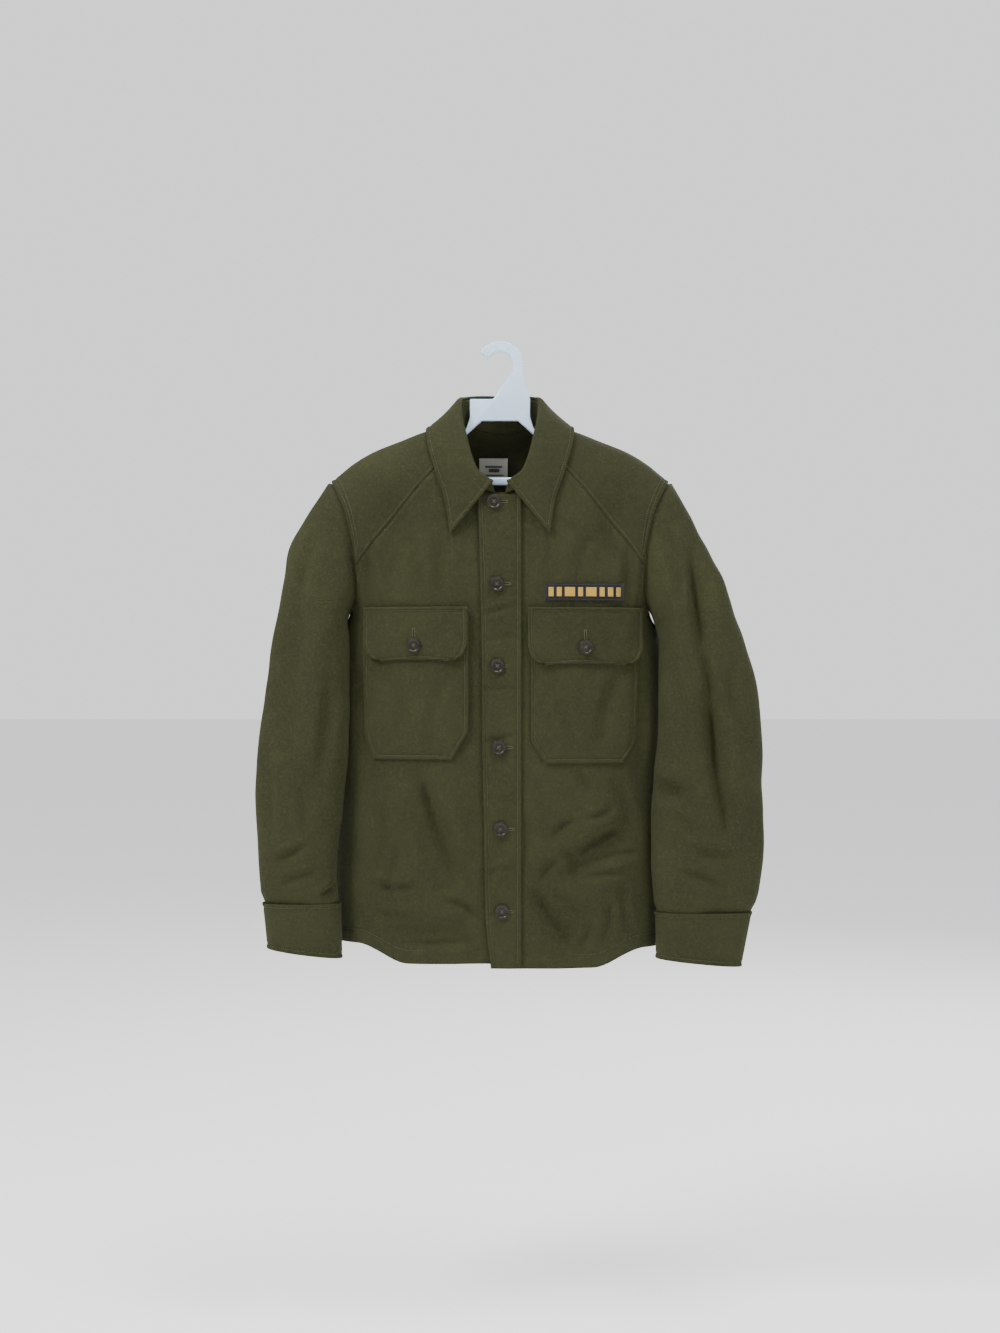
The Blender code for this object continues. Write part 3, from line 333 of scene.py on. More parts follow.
# Creases of the sleeves, by side: face, start, end, depth, width and bow to one side
SLEEVE_CREASES = {
    1: [
        ("front", 252, -262, 266, -404, 3.2, 6, -2),
        ("front", 264, -398, 277, -467, 3.4, 6, 2),
        ("front", 275, -460, 286, -572, 3.2, 6, -2),
        ("front", 284, -564, 301, -640, 2.8, 6.5, 2),
        ("front", 203, -572, 236, -584, 2.6, 5.5, 2),
        ("front", 228, -688, 302, -712, 1.9, 6, 5),
        ("front", 240, -652, 312, -668, 1.6, 6, -4),
        ("front", 222, -246, 238, -335, 2.2, 9, 4),
        ("front", 300, -402, 326, -525, 2, 9, -5),
        ("front", 224, -420, 240, -545, 1.8, 9, 4),
        ("front", 226, -610, 256, -640, 1.6, 7, 3),
        ("back", 240, -298, 264, -435, 2.2, 8, 4),
        ("back", 298, -450, 320, -605, 2.2, 8, -4),
        ("back", 224, -556, 266, -645, 2.2, 7, 4),
        ("back", 238, -680, 304, -702, 1.8, 6, 4),
    ],
    -1: [
        ("front", -234, -722, -213, -706, 2.4, 5, 1),
        ("front", -238, -238, -263, -332, 2.2, 9, -4),
        ("front", -224, -420, -236, -565, 2, 8, 4),
        ("front", -302, -515, -297, -662, 1.8, 9, -4),
        ("front", -248, -648, -303, -674, 1.8, 6, 4),
        ("front", -238, -690, -288, -704, 1.7, 6, -3),
        ("front", -262, -575, -252, -640, 1.6, 8, 3),
        ("back", -240, -300, -262, -440, 2.2, 8, 4),
        ("back", -292, -450, -300, -605, 2.2, 8, -4),
        ("back", -224, -560, -262, -645, 2.2, 7, 4),
        ("back", -236, -684, -296, -700, 1.8, 6, 4),
    ],
}

# Unevenness of hanging cloth: wavelengths across and up, phase and height
WAVES = [
    (151.0, 389.0, 0.4, 0.9), (97.0, -263.0, 2.1, 0.6), (61.0, 173.0, 4.4, 0.35),
    (-43.0, 118.0, 1.2, 0.22), (37.0, -71.0, 3.3, 0.14), (210.0, 67.0, 5.1, 0.2),
]
WAVE_TURN = 0.8
WAVE_SLOWNESS = 3
WAVE_DRIFT = 90

# Share of the unevenness on each piece, and where it is held back
FACE_SHIFT = {"front": 0.0, "back": 2.4, "sleeve": 4.1}
SLEEVE_WAVE_SHARE = 1.5
FOLD_SHARE = 1.5
CREASE_SHARE = 2.1
FINE_WIDTH = 10.0
CUFF_WAVE_SHARE = 0.35
COLLAR_WAVE_SHARE = 0.3
COLLAR_WAVE_START = (14.0, 40.0)
COLLAR_CALM_X = (95.0, 125.0)
COLLAR_CALM_Z = (235.0, 270.0)
COLLAR_CALM = 0.85
SIDE_CALM_FROM = 0.9
SIDE_CALM = 0.7

# Stitched edges: distance of the stitching, height of the ridge, dip at the stitches, pucker
STITCH_INSET = 5.5
HEM_INSET = 18.0
ARM_INSETS = (5.0, 11.0)
TAPE_INSET = 1.6
LABEL_INSET = 1.8
END_STEPS = 4
RIDGE_HEIGHT = 0.8
RIDGE_PLACE = 0.45
RIDGE_WIDTH = 0.4
STITCH_DIP = 0.7
DIP_WIDTH = 1.6
PUCKER = 0.3
PUCKER_LENGTH = 11.0
PUCKER_REACH = 6.0
PUCKER_SLANT = 0.6
PUCKER_UNEVENNESS = 1.6
PUCKER_DRIFT = 17.0
THREAD_SINK = 0.35
EDGE_STEPS = (0.0, 1.2, 2.4, 3.6, 4.6, 5.5, 6.4, 7.6, 9.4)
PATCH_STEP = 3.2

# Bars that fill the places of the tape and the label: lowest and highest corner
STRIP_BARS = [(63.5, -326.5, 70.0, -314.5), (74.0, -326.5, 80.5, -314.5),
              (84.5, -326.5, 98.0, -314.5), (102.0, -326.5, 108.5, -314.5),
              (112.5, -326.5, 126.0, -314.5), (130.0, -326.5, 136.5, -314.5),
              (140.5, -326.5, 147.0, -314.5), (151.0, -326.5, 157.5, -314.5)]
LABEL_BARS = [(-20.0, -150.0, 3.0, -147.5), (-15.0, -156.0, -1.0, -151.5),
              (-22.0, -161.0, 5.0, -159.5), (-22.0, -165.0, 5.0, -163.5)]
BAR_WALL = 0.45

# Directions that pieces face
FRONT, REAR, UPPER_REAR = (0.0, -1.0, 0.0), (0.0, 1.0, 0.0), (0.0, 0.6, 0.8)

# Buttons and buttonholes
BUTTON_RADIUS = 9.5
BUTTON_DEPTH = 3.3
BUTTON_RIM = 1.7
BUTTON_DISH = 1.0
BUTTON_SLOPE = BUTTON_RIM * 0.6
BUTTON_EDGE = 0.55
HOLE_HEIGHT = 2.6
HOLE_RADIUS = 1.0
HOLE_PLACE = 2.3
THREAD_RADIUS = 0.42
THREAD_REACH = 3.9
THREAD_RISE = 0.1
BUTTONHOLE_LENGTH = 23.0
BUTTONHOLE_WIDTH = 3.6
FLAP_BUTTONHOLE = 21.0
BUTTONHOLE_CORD = 0.62
BUTTONHOLE_ROUND = 0.7
SLIT_SHARE = 0.46
SLIT_WIDTH = 0.55
SLIT_HEIGHT = 0.3
BUTTONHOLE_SEAT = 0.15
BUTTONHOLE_ASIDE = 7.0
BUTTONHOLE_ABOVE = 12.5

# Lamps: place, size and power; then the point that they and the camera look at
LAMPS = [
    ("key", (-1.9, -1.5, 2.0), 1.0, 120.0), ("fill", (2.2, -2.6, -0.1), 2.4, 20.0),
    ("top", (0.5, -0.8, 2.1), 0.9, 55.0), ("rear", (1.4, 2.4, 1.2), 1.6, 70.0),
]
AIM = (0.0, 0.0, -0.4183)
FLOOR_SIZE = 60.0
FLOOR_GLOW = 0.55
SKY_COLOUR = (0.93, 0.94, 0.96, 1.0)
SKY_STRENGTH = 0.6
BACKDROP_STRENGTH = 1.35
SENSOR_WIDTH = 36.0

# Colours that the user can't set
THREAD_SHARE = 1.7
GREY_BARS = (0.12, 0.12, 0.13)
BLACK_THREAD = (0.02, 0.02, 0.02)
WHITE_THREAD = (0.5, 0.5, 0.45)

# Fineness of the grids
FINE = {
    "columns": 64, "low_rows": 150, "back_half_columns": 64, "sleeve_rows": 170, "cuff_rows": 34,
    "collar_columns": 90, "stand_rows": 12, "fall_rows": 34, "band_rows": 210,
    "pocket_rows": 7, "flap_rows": 3, "strip_rows": 3, "label_rows": 4,
}


def smooth(table, key, value, at):
    """Read a column of a table at any key, with a smooth curve through its rows."""
    keys = np.asarray(table[key], dtype=float)
    values = np.asarray(table[value], dtype=float)
    at = np.clip(np.asarray(at, dtype=float), keys[0], keys[-1])
    steps = np.diff(values) / np.diff(keys)
    slopes = np.concatenate(([steps[0]], (steps[1:] + steps[:-1]) / 2, [steps[-1]]))
    low = np.clip(np.searchsorted(keys, at) - 1, 0, len(keys) - 2)
    span = keys[low + 1] - keys[low]
    t = (at - keys[low]) / span
    start = (1 + 2 * t) * (1 - t) ** 2 * values[low] + t * (1 - t) ** 2 * span * slopes[low]
    end = t * t * (3 - 2 * t) * values[low + 1] + t * t * (t - 1) * span * slopes[low + 1]
    return start + end


def unit(vectors):
    """Give vectors at a length of 1."""
    return vectors / np.maximum(np.linalg.norm(vectors, axis=-1, keepdims=True), SMALLEST)


def body_side(z):
    """Give the half-width at which the body's front and back close, at a height."""
    return smooth(BODY, "height", "side", z)


def shoulder_height(x):
    """Give the height of the shoulder line at a half-width."""
    return smooth(SHOULDER, "half", "height", np.abs(x))


def ease(value, low, high):
    """Rise smoothly from 0 at low to 1 at high."""
    t = np.clip((np.asarray(value, dtype=float) - low) / (high - low), 0.0, 1.0)
    return t * t * (3 - 2 * t)


def body_terms(x, z):
    """Give the depth factors of the body at a place seen from the front."""
    side = body_side(z)
    across = x / side
    pillow = (1 - across ** 2) * (1 + PILLOW * across ** 2)
    below = shoulder_height(x) - z
    ridge = np.where(below < RIDGE_RADIUS, 1 - (1 - below / RIDGE_RADIUS) ** 2, 1.0)
    shear = smooth(BODY, "height", "shear", z) * np.minimum(across ** 4, 1.0)
    return pillow * ridge, shear


def surface_value(points):
    """Give a value that is zero on the body's form and grows outwards."""
    x, y, z = points[..., 0], points[..., 1], points[..., 2]
    share, shear = body_terms(x, z)
    front = smooth(BODY, "height", "front", z)
    back = smooth(BODY, "height", "back", z)
    depth = np.where(y - shear < 0, front, back)
    return ((y - shear) / depth) ** 2 - share


def gradient(points):
    """Give the slope of surface_value."""
    slopes = [(surface_value(points + axis) - surface_value(points - axis)) / (2 * SLOPE_STEP)
              for axis in np.eye(3) * SLOPE_STEP]
    return np.stack(slopes, axis=-1)


def normals(points):
    """Give the outward direction of the body's form."""
    return unit(gradient(points))


def distance(points):
    """Give roughly how far points stand outside the body's form."""
    return surface_value(points) / np.maximum(np.linalg.norm(gradient(points), axis=-1), 1e-9)


def trough(x, z, fold):
    """Give the dent of one fold, deep along its line and fading at its ends."""
    x0, z0, x1, z1, depth, width, bow = (*fold, 0.0)[:7]
    depth = depth * (CREASE_SHARE if width < FINE_WIDTH else FOLD_SHARE)
    length = math.hypot(x1 - x0, z1 - z0)
    along = ((x - x0) * (x1 - x0) + (z - z0) * (z1 - z0)) / length
    aside = ((x - x0) * (z1 - z0) - (z - z0) * (x1 - x0)) / length
    fade = ease(along, -width, length / 3) * (1 - ease(along, length * 2 / 3, length + width))
    aside = aside + bow * np.sin(np.clip(along / length, 0, 1) * math.pi)
    swell = SWELL_SHARE * np.exp(-((np.abs(aside) - SWELL_PLACE * width) / width) ** 2)
    return -depth * fade * (np.exp(-(aside / width) ** 2) - swell)


def waves(x, z, shift):
    """Give the soft unevenness of hanging cloth."""
    height = np.zeros_like(x)
    for across, up, phase, size in WAVES:
        turn = 2 * math.pi * (x / across + z / up) + phase + shift
        drift = WAVE_TURN * np.sin(turn / WAVE_SLOWNESS + z / WAVE_DRIFT)
        height = height + size * np.sin(turn + drift)
    return height


def calm(x, z):
    """Give how far the unevenness is let out: not at the ridge, the sides or the collar."""
    below = shoulder_height(x) - z
    across = np.abs(x) / body_side(z)
    collar = (1 - ease(np.abs(x), *COLLAR_CALM_X)) * (1 - ease(-z, *COLLAR_CALM_Z))
    side = 1 - SIDE_CALM * ease(across, SIDE_CALM_FROM, 1.0)
    return ease(below, 0.0, RIDGE_RADIUS) * side * (1 - COLLAR_CALM * collar)


def fold_height(x, z, face):
    """Add up the folds, creases and unevenness of one face of the body."""
    height = waves(x, z, FACE_SHIFT[face]) * calm(x, z)
    for fold in FOLDS[face] + CREASES[face]:
        height = height + trough(x, z, fold)
    return height


def body_points(x, z, face, offset=0.0):
    """Give points on the front or back of the body, moved out by an offset."""
    x, z = np.broadcast_arrays(np.asarray(x, dtype=float), np.asarray(z, dtype=float))
    share, shear = body_terms(x, z)
    depth = smooth(BODY, "height", face, z)
    sign = np.where(face == "front", -1.0, 1.0)
    y = shear + sign * depth * np.sqrt(np.maximum(share, 0.0))
    points = np.stack([x, y, z], axis=-1)
    raised = offset + fold_height(x, z, face)
    return points + normals(points) * raised[..., None]


def height_over(x, over):
    """Turn a turn over the shoulder ridge into a height."""
    turn = np.abs(over)
    curved = RIDGE_RADIUS * (1 - np.cos(np.minimum(turn, 1.0) * math.pi / 2))
    straight = np.maximum(turn - 1, 0) * RIDGE_RADIUS * math.pi / 2
    return shoulder_height(x) - curved - straight


def turn_over(x, z):
    """Turn a height into a turn over the shoulder ridge, without its sign."""
    below = np.maximum(shoulder_height(x) - z, 0.0)
    curved = np.arccos(np.clip(1 - below / RIDGE_RADIUS, 0, 1)) / (math.pi / 2)
    straight = 1 + (below - RIDGE_RADIUS) / (RIDGE_RADIUS * math.pi / 2)
    return np.where(below < RIDGE_RADIUS, curved, straight)


def over_points(x, over, offset=0.0):
    """Give points by half-width and turn over the ridge, front turns being negative."""
    z = height_over(x, over)
    front = body_points(x, z, "front", offset)
    back = body_points(x, z, "back", offset)
    return np.where((np.asarray(over) < 0)[..., None], front, back)


def neck_ring(turn):
    """Give half-width and turn over the ridge of the neck seam, by degrees from the front."""
    angle = np.radians(turn)
    middle = (NECK_FRONT_TURN + NECK_BACK_TURN) / 2
    swing = (NECK_BACK_TURN - NECK_FRONT_TURN) / 2
    return NECK_HALF_WIDTH * np.sin(angle), middle - swing * np.cos(angle)


def armhole_half(z):
    """Give the half-width of the armhole seam at a height."""
    return smooth(ARMHOLE, "height", "half", z)


def arm_height(division):
    """Give the height of one division of the armhole, counted down from its top."""
    middle, half = (ARM_TOP + ARM_BOTTOM) / 2, (ARM_TOP - ARM_BOTTOM) / 2
    return middle + half * np.cos(np.asarray(division) * 2 * math.pi / ARM_DIVISIONS)


def arm_rows(division):
    """Give the heights of a panel's rows up its armhole, with one row between divisions."""
    lowest = ARM_DIVISIONS // 2
    heights = arm_height(np.arange(lowest, division - 1, -1))
    between = (heights[1:-1] + heights[2:]) / 2
    return np.sort(np.concatenate([heights, between[1:]]))


def edge_spread(count):
    """Spread columns from a panel's side to its middle, closer together at the side."""
    share = np.linspace(0, 1, count)
    return share * (SIDE_CLOSENESS + (1 - SIDE_CLOSENESS) * share)


def yoke_seam(share):
    """Give half-width and height along the front yoke seam, from neck to armhole."""
    neck_x, neck_over = neck_ring(YOKE_SEAM_TURN)
    end_x = armhole_half(arm_height(YOKE_FRONT_DIVISION))
    end_over = -turn_over(end_x, arm_height(YOKE_FRONT_DIVISION))
    x = neck_x + (end_x - neck_x) * share
    return x, height_over(x, neck_over + (end_over - neck_over) * share)


def clear_of_body(points, clearance):
    """Push points out until they stand clear of the body's form."""
    for _ in range(PUSH_ROUNDS):
        short = np.maximum(clearance - distance(points), 0.0)
        points = points + normals(points) * short[..., None]
    return points


def trimmed(grid, edges, gap=SEAM_GAP):
    """Draw named edges of a grid of points back by half a seam gap."""
    grid = grid.copy()
    pairs = {"first_row": ((0,), (1,)), "last_row": ((-1,), (-2,)),
             "first_column": ((slice(None), 0), (slice(None), 1)),
             "last_column": ((slice(None), -1), (slice(None), -2))}
    for edge in edges:
        at, beside = pairs[edge]
        grid[at] = grid[at] + unit(grid[beside] - grid[at]) * gap / 2
    return grid


def panel_rows(side, inner_edge, hem, grain):
    """Give a front panel's rows as outer and inner places, from the hem to the yoke seam."""
    sides = np.linspace(hem, ARM_BOTTOM, grain["low_rows"])
    arm = arm_rows(YOKE_FRONT_DIVISION)[1:]
    neck_x, neck_over = neck_ring(NECK_FRONT_CLEAR)
    neck_z = float(height_over(neck_x, neck_over))
    centre_share = len(arm) // 2
    centre = np.linspace(CENTRE_START, neck_z, centre_share + 1)[1:]
    turns = np.linspace(NECK_FRONT_CLEAR, YOKE_SEAM_TURN, len(arm) - centre_share + 1)[1:]
    ring_x, ring_over = neck_ring(turns)
    inner_x = np.concatenate([[inner_edge(z) * side for z in (*sides, *centre)], ring_x])
    inner_z = np.concatenate([np.linspace(hem, CENTRE_START, len(sides)), centre,
                              height_over(ring_x, ring_over)])
    outer_x = np.concatenate([body_side(sides), armhole_half(arm)])
    return outer_x, np.concatenate([sides, arm]), inner_x, inner_z


def front_grid(side, inner_edge, hem, grain):
    """Give the half-widths and heights of one front panel, row by row."""
    outer_x, outer_z, inner_x, inner_z = panel_rows(side, inner_edge, hem, grain)
    share = edge_spread(grain["columns"])
    seam_x, seam_z = yoke_seam(1 - share)
    rows = len(outer_x)
    xs, zs = [], []
    for row in range(rows):
        low = body_side(outer_z[row])
        high = body_side(inner_z[row])
        start, end = np.arcsin(min(outer_x[row] / low, 1.0)), np.arcsin(inner_x[row] / high)
        half_width = low + (high - low) * share
        x = half_width * np.sin(start + (end - start) * share)
        z = outer_z[row] + (inner_z[row] - outer_z[row]) * share
        to_seam = max(0.0, (row - rows + 1 + SEAM_ROWS) / SEAM_ROWS) ** 2
        to_seam = to_seam * np.where(share > 0, 1.0, to_seam >= 1)
        x = x + (seam_x - x) * to_seam
        if row == rows - 1:
            z = seam_z
        lift = (1 - row / (rows - 1)) ** HEM_RISE_POWER * HEM_SIDE_RISE
        lift = lift * ease(x, HEM_RISE_FROM, HEM_RISE_TO)
        xs.append(x)
        zs.append(z + lift)
    return np.array(xs), np.array(zs)


def band_edge(z):
    """Give the place of the overlapping front's free edge at a height."""
    return float(smooth(BAND, "height", "edge", z))


def front_panels(grain):
    """Give the points of both fronts; the right one laps over the left one."""
    x, z = front_grid(-1, lambda height: UNDERLAP, HEM_LEFT, grain)
    inset = -UNDERLAP_STEP * (1 - ease(x, UNDERLAP_FROM, UNDERLAP_TO))
    left = body_points(-x, z, "front", inset)
    x, z = front_grid(1, band_edge, HEM_RIGHT, grain)
    right = body_points(x, z, "front")
    left, right = [trimmed(grid, ["first_column"], SIDE_GAP) for grid in (left, right)]
    return trimmed(left, ["last_row"]), trimmed(right, ["last_row"])


def back_spread(grain):
    """Spread columns over the back, from -1 to 1, closer together at both sides."""
    half = 1 - edge_spread(grain["back_half_columns"])
    return np.concatenate([-half, half[-2::-1]])


def back_panel(grain):
    """Give the points of the back, from the hem to the straight yoke seam."""
    sides = np.linspace(HEM_BACK, ARM_BOTTOM, grain["low_rows"])
    arm = arm_rows(YOKE_BACK_DIVISION)[1:]
    heights = np.concatenate([sides, arm])
    edges = np.concatenate([body_side(sides), armhole_half(arm)])
    closing = body_side(heights)
    reach = np.arcsin(np.minimum(edges / closing, 1.0))
    share = back_spread(grain)
    x = closing[:, None] * np.sin(reach[:, None] * share)
    z = np.repeat(heights[:, None], len(share), axis=1)
    fall = (1 - np.arange(len(heights)) / (len(heights) - 1)) ** HEM_RISE_POWER
    rise = HEM_SIDE_RISE * ease(np.abs(x), HEM_RISE_FROM, HEM_RISE_TO)
    z = z + fall[:, None] * rise
    grid = trimmed(body_points(x, z, "back"), ["first_column", "last_column"], SIDE_GAP)
    return trimmed(grid, ["last_row"])


def yoke_outline(grain):
    """Give the outer edge of half the yoke: front seam, armhole, then back seam to the middle."""
    front = arm_height(np.arange(YOKE_FRONT_DIVISION, -1, -1))
    back = arm_height(np.arange(1, YOKE_BACK_DIVISION + 1))
    front_x, back_x = armhole_half(front), armhole_half(back)
    closing = body_side(back[-1])
    reach = np.arcsin(back_x[-1] / closing)
    share = 1 - edge_spread(grain["back_half_columns"])[1:]
    seam_x = closing * np.sin(reach * share)
    x = np.concatenate([front_x, back_x, seam_x])
    over = np.concatenate([-turn_over(front_x, front), turn_over(back_x, back),
                           turn_over(seam_x, np.full_like(seam_x, back[-1]))])
    return x, over, len(front) - 1


def yoke_panel(grain):
    """Give the yoke as a horseshoe of columns running out from the neck seam."""
    outer_x, outer_over, ridge = yoke_outline(grain)
    swing = (NECK_BACK_TURN - NECK_FRONT_TURN) / 2
    ridge_turn = math.degrees(math.acos((NECK_BACK_TURN - swing) / swing))
    turns = np.concatenate([np.linspace(YOKE_SEAM_TURN, ridge_turn, ridge + 1),
                            np.linspace(ridge_turn, 180, len(outer_x) - ridge)[1:]])
    neck_x, neck_over = neck_ring(turns)
    share = 1 - edge_spread(grain["columns"])[::-1, None]
    x = neck_x + (outer_x - neck_x) * share
    over = neck_over + (outer_over - neck_over) * share
    left = over_points(-x, over)
    right = over_points(x[:, -2::-1], over[:, -2::-1])
    return trimmed(np.concatenate([left, right], axis=1),
                   ["first_column", "last_column", "last_row"])


def armhole_loop(side, angles):
    """Give the armhole seam as a loop: over the shoulder, down the front and up the back."""
    middle, half = (ARM_TOP + ARM_BOTTOM) / 2, (ARM_TOP - ARM_BOTTOM) / 2
    z = middle + half * np.cos(angles)
    x = side * armhole_half(z)
    front, back = body_points(x, z, "front"), body_points(x, z, "back")
    return np.where((np.sin(angles) >= 0)[:, None], front, back)


def sleeve_head(side, angles):
    """Give the first rings of a sleeve, lapped under the body's edge and turning out of it."""
    loop = armhole_loop(side, angles)
    outward = normals(loop)
    along = np.roll(loop, -1, axis=0) - np.roll(loop, 1, axis=0)
    inward = unit(np.cross(outward, along))
    low = (1 - np.cos(angles)) / 2
    to_body = np.stack([-side * (1 - low), 0 * low, -low ** 3], axis=-1)
    inward *= np.sign(np.sum(inward * to_body, axis=-1, keepdims=True))
    lap = loop + inward * ARM_LAP
    for _ in range(PUSH_ROUNDS):
        lap = lap - normals(lap) * distance(lap)[:, None]
    lap = lap - normals(lap) * ARM_LAYER
    edge = loop - outward * ARM_LAYER
    turning = loop - inward * HEAD_STEP - outward * HEAD_SINK
    return [lap, edge, turning]


def ellipse_ring(outer, inner, depth, middle, bow, side, angles, inset=0.0):
    """Give one ring of a sleeve or cuff between its outer and inner edge."""
    outer, inner = np.asarray(outer, dtype=float), np.asarray(inner, dtype=float)
    centre, half = (outer + inner) / 2, (outer - inner) / 2
    shrink = 1 - inset / np.linalg.norm(half)
    x = centre[0] + half[0] * np.cos(angles) * shrink - side * bow * np.sin(angles) ** 2
    z = centre[1] + half[1] * np.cos(angles) * shrink
    round_share = np.sign(np.sin(angles)) * np.abs(np.sin(angles)) ** SLEEVE_FULLNESS
    y = middle - (depth - inset) * round_share
    return np.stack([x, y, z], axis=-1)


def cuff_start():
    """Give the angle at which a cuff's overlapping end starts."""
    return CUFF_START_DIVISION * 2 * math.pi / ARM_DIVISIONS


def underlap_inset(turn):
    """Give how deep a cuff's underlapped end lies below its outer face."""
    overlap = CUFF_EXTRA * 2 * math.pi / ARM_DIVISIONS
    return LAYER * (1 - ease(turn, overlap + CUFF_STEP_FROM, overlap + CUFF_STEP_TO))


def sleeve_points(side, table, cuff, grain):
    """Give a sleeve's rings, from under the armhole seam to inside the cuff."""
    angles = np.arange(ARM_DIVISIONS) * 2 * math.pi / ARM_DIVISIONS
    rings = sleeve_head(side, angles)
    stations = np.linspace(1, table["station"][-1], grain["sleeve_rows"])
    for station in stations:
        row = {key: float(smooth(table, "station", key, station)) for key in table}
        rings.append(ellipse_ring((side * row["outer_x"], row["outer_z"]),
                                  (side * row["inner_x"], row["inner_z"]), row["depth"],
                                  row["middle"], row["bow"], side, angles))
    turn = (angles - cuff_start()) % (2 * math.pi)
    closing = ease(turn, CUFF_CLOSE_FROM, CUFF_CLOSE_TO)
    inset = underlap_inset(turn) + LAYER * (1 + closing)
    for share in (CUFF_LAP_START, CUFF_LAP):
        outer, inner = cuff_edges(cuff, share)
        rings.append(ellipse_ring(outer, inner, cuff["depth"], cuff["middle"], 0.0, side,
                                  angles, inset))
    return sleeve_folded(np.array(rings), side)


def sleeve_folded(grid, side):
    """Press the folds of one sleeve into its rings."""
    middle = grid.mean(axis=1, keepdims=True)
    out = grid - middle
    out[..., 2] = 0.0
    out = unit(out)
    facing = (grid[..., 1] - middle[..., 1]) / SLEEVE_HALF_DEPTH
    rough = waves(grid[..., 0], grid[..., 2], FACE_SHIFT["sleeve"]) * SLEEVE_WAVE_SHARE
    from_seam = ease(ARM_TOP - grid[..., 2], 0.0, RIDGE_RADIUS)
    grid = grid + out * (rough * from_seam)[..., None]
    for face, *fold in SLEEVE_FOLDS[side] + SLEEVE_CREASES[side]:
        share = ease(-facing if face == "front" else facing, 0.0, SLEEVE_FACE_SHARE)
        grid = grid + out * (trough(grid[..., 0], grid[..., 2], fold) * share)[..., None]
    return grid


def cuff_edges(cuff, share):
    """Give a cuff's outer and inner edge at a share of its height, from its seam down."""
    return [(cuff[edge] + (cuff[f"{edge}_end"] - cuff[edge]) * share,
             cuff["top"] + (cuff[f"{edge}_bottom"] - cuff["top"]) * share)
            for edge in ("outer", "inner")]


def cuff_points(side, cuff, grain):
    """Give a cuff as a strip that goes round and laps over its own end."""
    turn = np.arange(ARM_DIVISIONS + CUFF_EXTRA + 1) * 2 * math.pi / ARM_DIVISIONS
    angles = cuff_start() + turn
    inset = underlap_inset(turn)
    rows = []
    for share in np.linspace(0, 1, grain["cuff_rows"]):
        outer, inner = cuff_edges(cuff, share)
        rows.append(ellipse_ring(outer, inner, cuff["depth"], cuff["middle"], 0.0, side,
                                 angles, inset))
    return np.array(rows)


def collar_lines(turns, side):
    """Give the neck seam, stand top, rise, outward direction and fall edge round the neck."""
    ring_x, ring_over = neck_ring(turns)
    seam = over_points(side * ring_x, ring_over)
    top = np.stack([side * smooth(STAND_TOP, "turn", "x", turns),
                    smooth(STAND_TOP, "turn", "y", turns),
                    smooth(STAND_TOP, "turn", "z", turns)], axis=-1)
    along = np.gradient(top, axis=0)
    out = unit(np.cross(along, top - seam))
    out *= np.sign(np.sum(out * top * (1.0, 1.0, 0.0), axis=-1, keepdims=True))
    rise = unit(np.cross(out, along))
    rise *= np.sign(np.sum(rise * (top - seam), axis=-1, keepdims=True))
    edge_x = side * smooth(FALL_EDGE, "turn", "half", turns)
    edge = over_points(edge_x, smooth(FALL_EDGE, "turn", "over", turns), FALL_LAYER)
    return seam, top, rise, out, edge


def collar_turns(grain):
    """Spread columns round half the neck, from the front end to the middle of the back."""
    return np.linspace(STAND_TOP["turn"][0], 180, grain["collar_columns"])


def both_halves(grain, rows_at):
    """Join the left half and the mirrored right half of a collar piece."""
    turns = collar_turns(grain)
    left, right = rows_at(turns, -1), rows_at(turns, 1)
    return np.concatenate([left, right[:, -2::-1]], axis=1)


def stand_rows(grain):
    """Give the rows of the collar stand, from just above the neck seam to its top."""
    def rows_at(turns, side):
        seam, top = collar_lines(turns, side)[:2]
        start = seam + unit(top - seam) * STAND_START
        share = np.linspace(0, 1, grain["stand_rows"])[:, None, None]
        return start + (top - start) * share
    return both_halves(grain, rows_at)


def fall_rows(grain):
    """Give the rows of the collar fall: over the roll, then down to its outer edge."""
    def rows_at(turns, side):
        _, top, rise, out, edge = collar_lines(turns, side)
        roll = [top + rise * height + out * reach for height, reach in FALL_ROLL]
        share = np.linspace(0, 1, grain["fall_rows"])[1:, None, None]
        leaf = roll[-1] + (edge - roll[-1]) * share
        over_stand = STAND_CLEAR * (1 - ease(share[..., 0], STAND_CLEAR_FROM, STAND_CLEAR_TO))
        over_band = 1 - ease(np.abs(leaf[..., 0]), BAND_CLEAR_FROM, BAND_CLEAR_TO)
        clearance = FALL_LAYER + LAYER * np.maximum(over_stand, over_band)
        leaf = clear_of_body(leaf, clearance)
        return np.concatenate([np.array(roll), leaf])
    return both_halves(grain, rows_at)


def patch(rows, face, offset, share, lift=None):
    """Give a flat piece that lies on the body: rows of height, left and right edge."""
    rows = np.asarray(rows, dtype=float)
    closing = body_side(rows[:, 0:1])
    reach = np.arcsin(rows[:, 1:] / closing)
    x = closing * np.sin(reach[:, 0:1] + (reach[:, 1:2] - reach[:, 0:1]) * share)
    z = np.repeat(rows[:, 0:1], len(share), axis=1)
    raised = offset if lift is None else offset + lift(share[None, :], z)
    return body_points(x, z, face, raised)


def pocket_outline(pocket, grain):
    """Give a pocket's rows, from its top to the corners that are cut off at its bottom."""
    heights = np.linspace(pocket["top"], pocket["cut"], grain["pocket_rows"])
    rows = [(z, pocket["left"], pocket["right"]) for z in heights]
    middle = (pocket["cut"] + pocket["bottom"]) / 2
    rows.append((middle, (pocket["left"] + pocket["bottom_left"]) / 2,
                 (pocket["right"] + pocket["bottom_right"]) / 2))
    rows.append((pocket["bottom"], pocket["bottom_left"], pocket["bottom_right"]))
    return rows


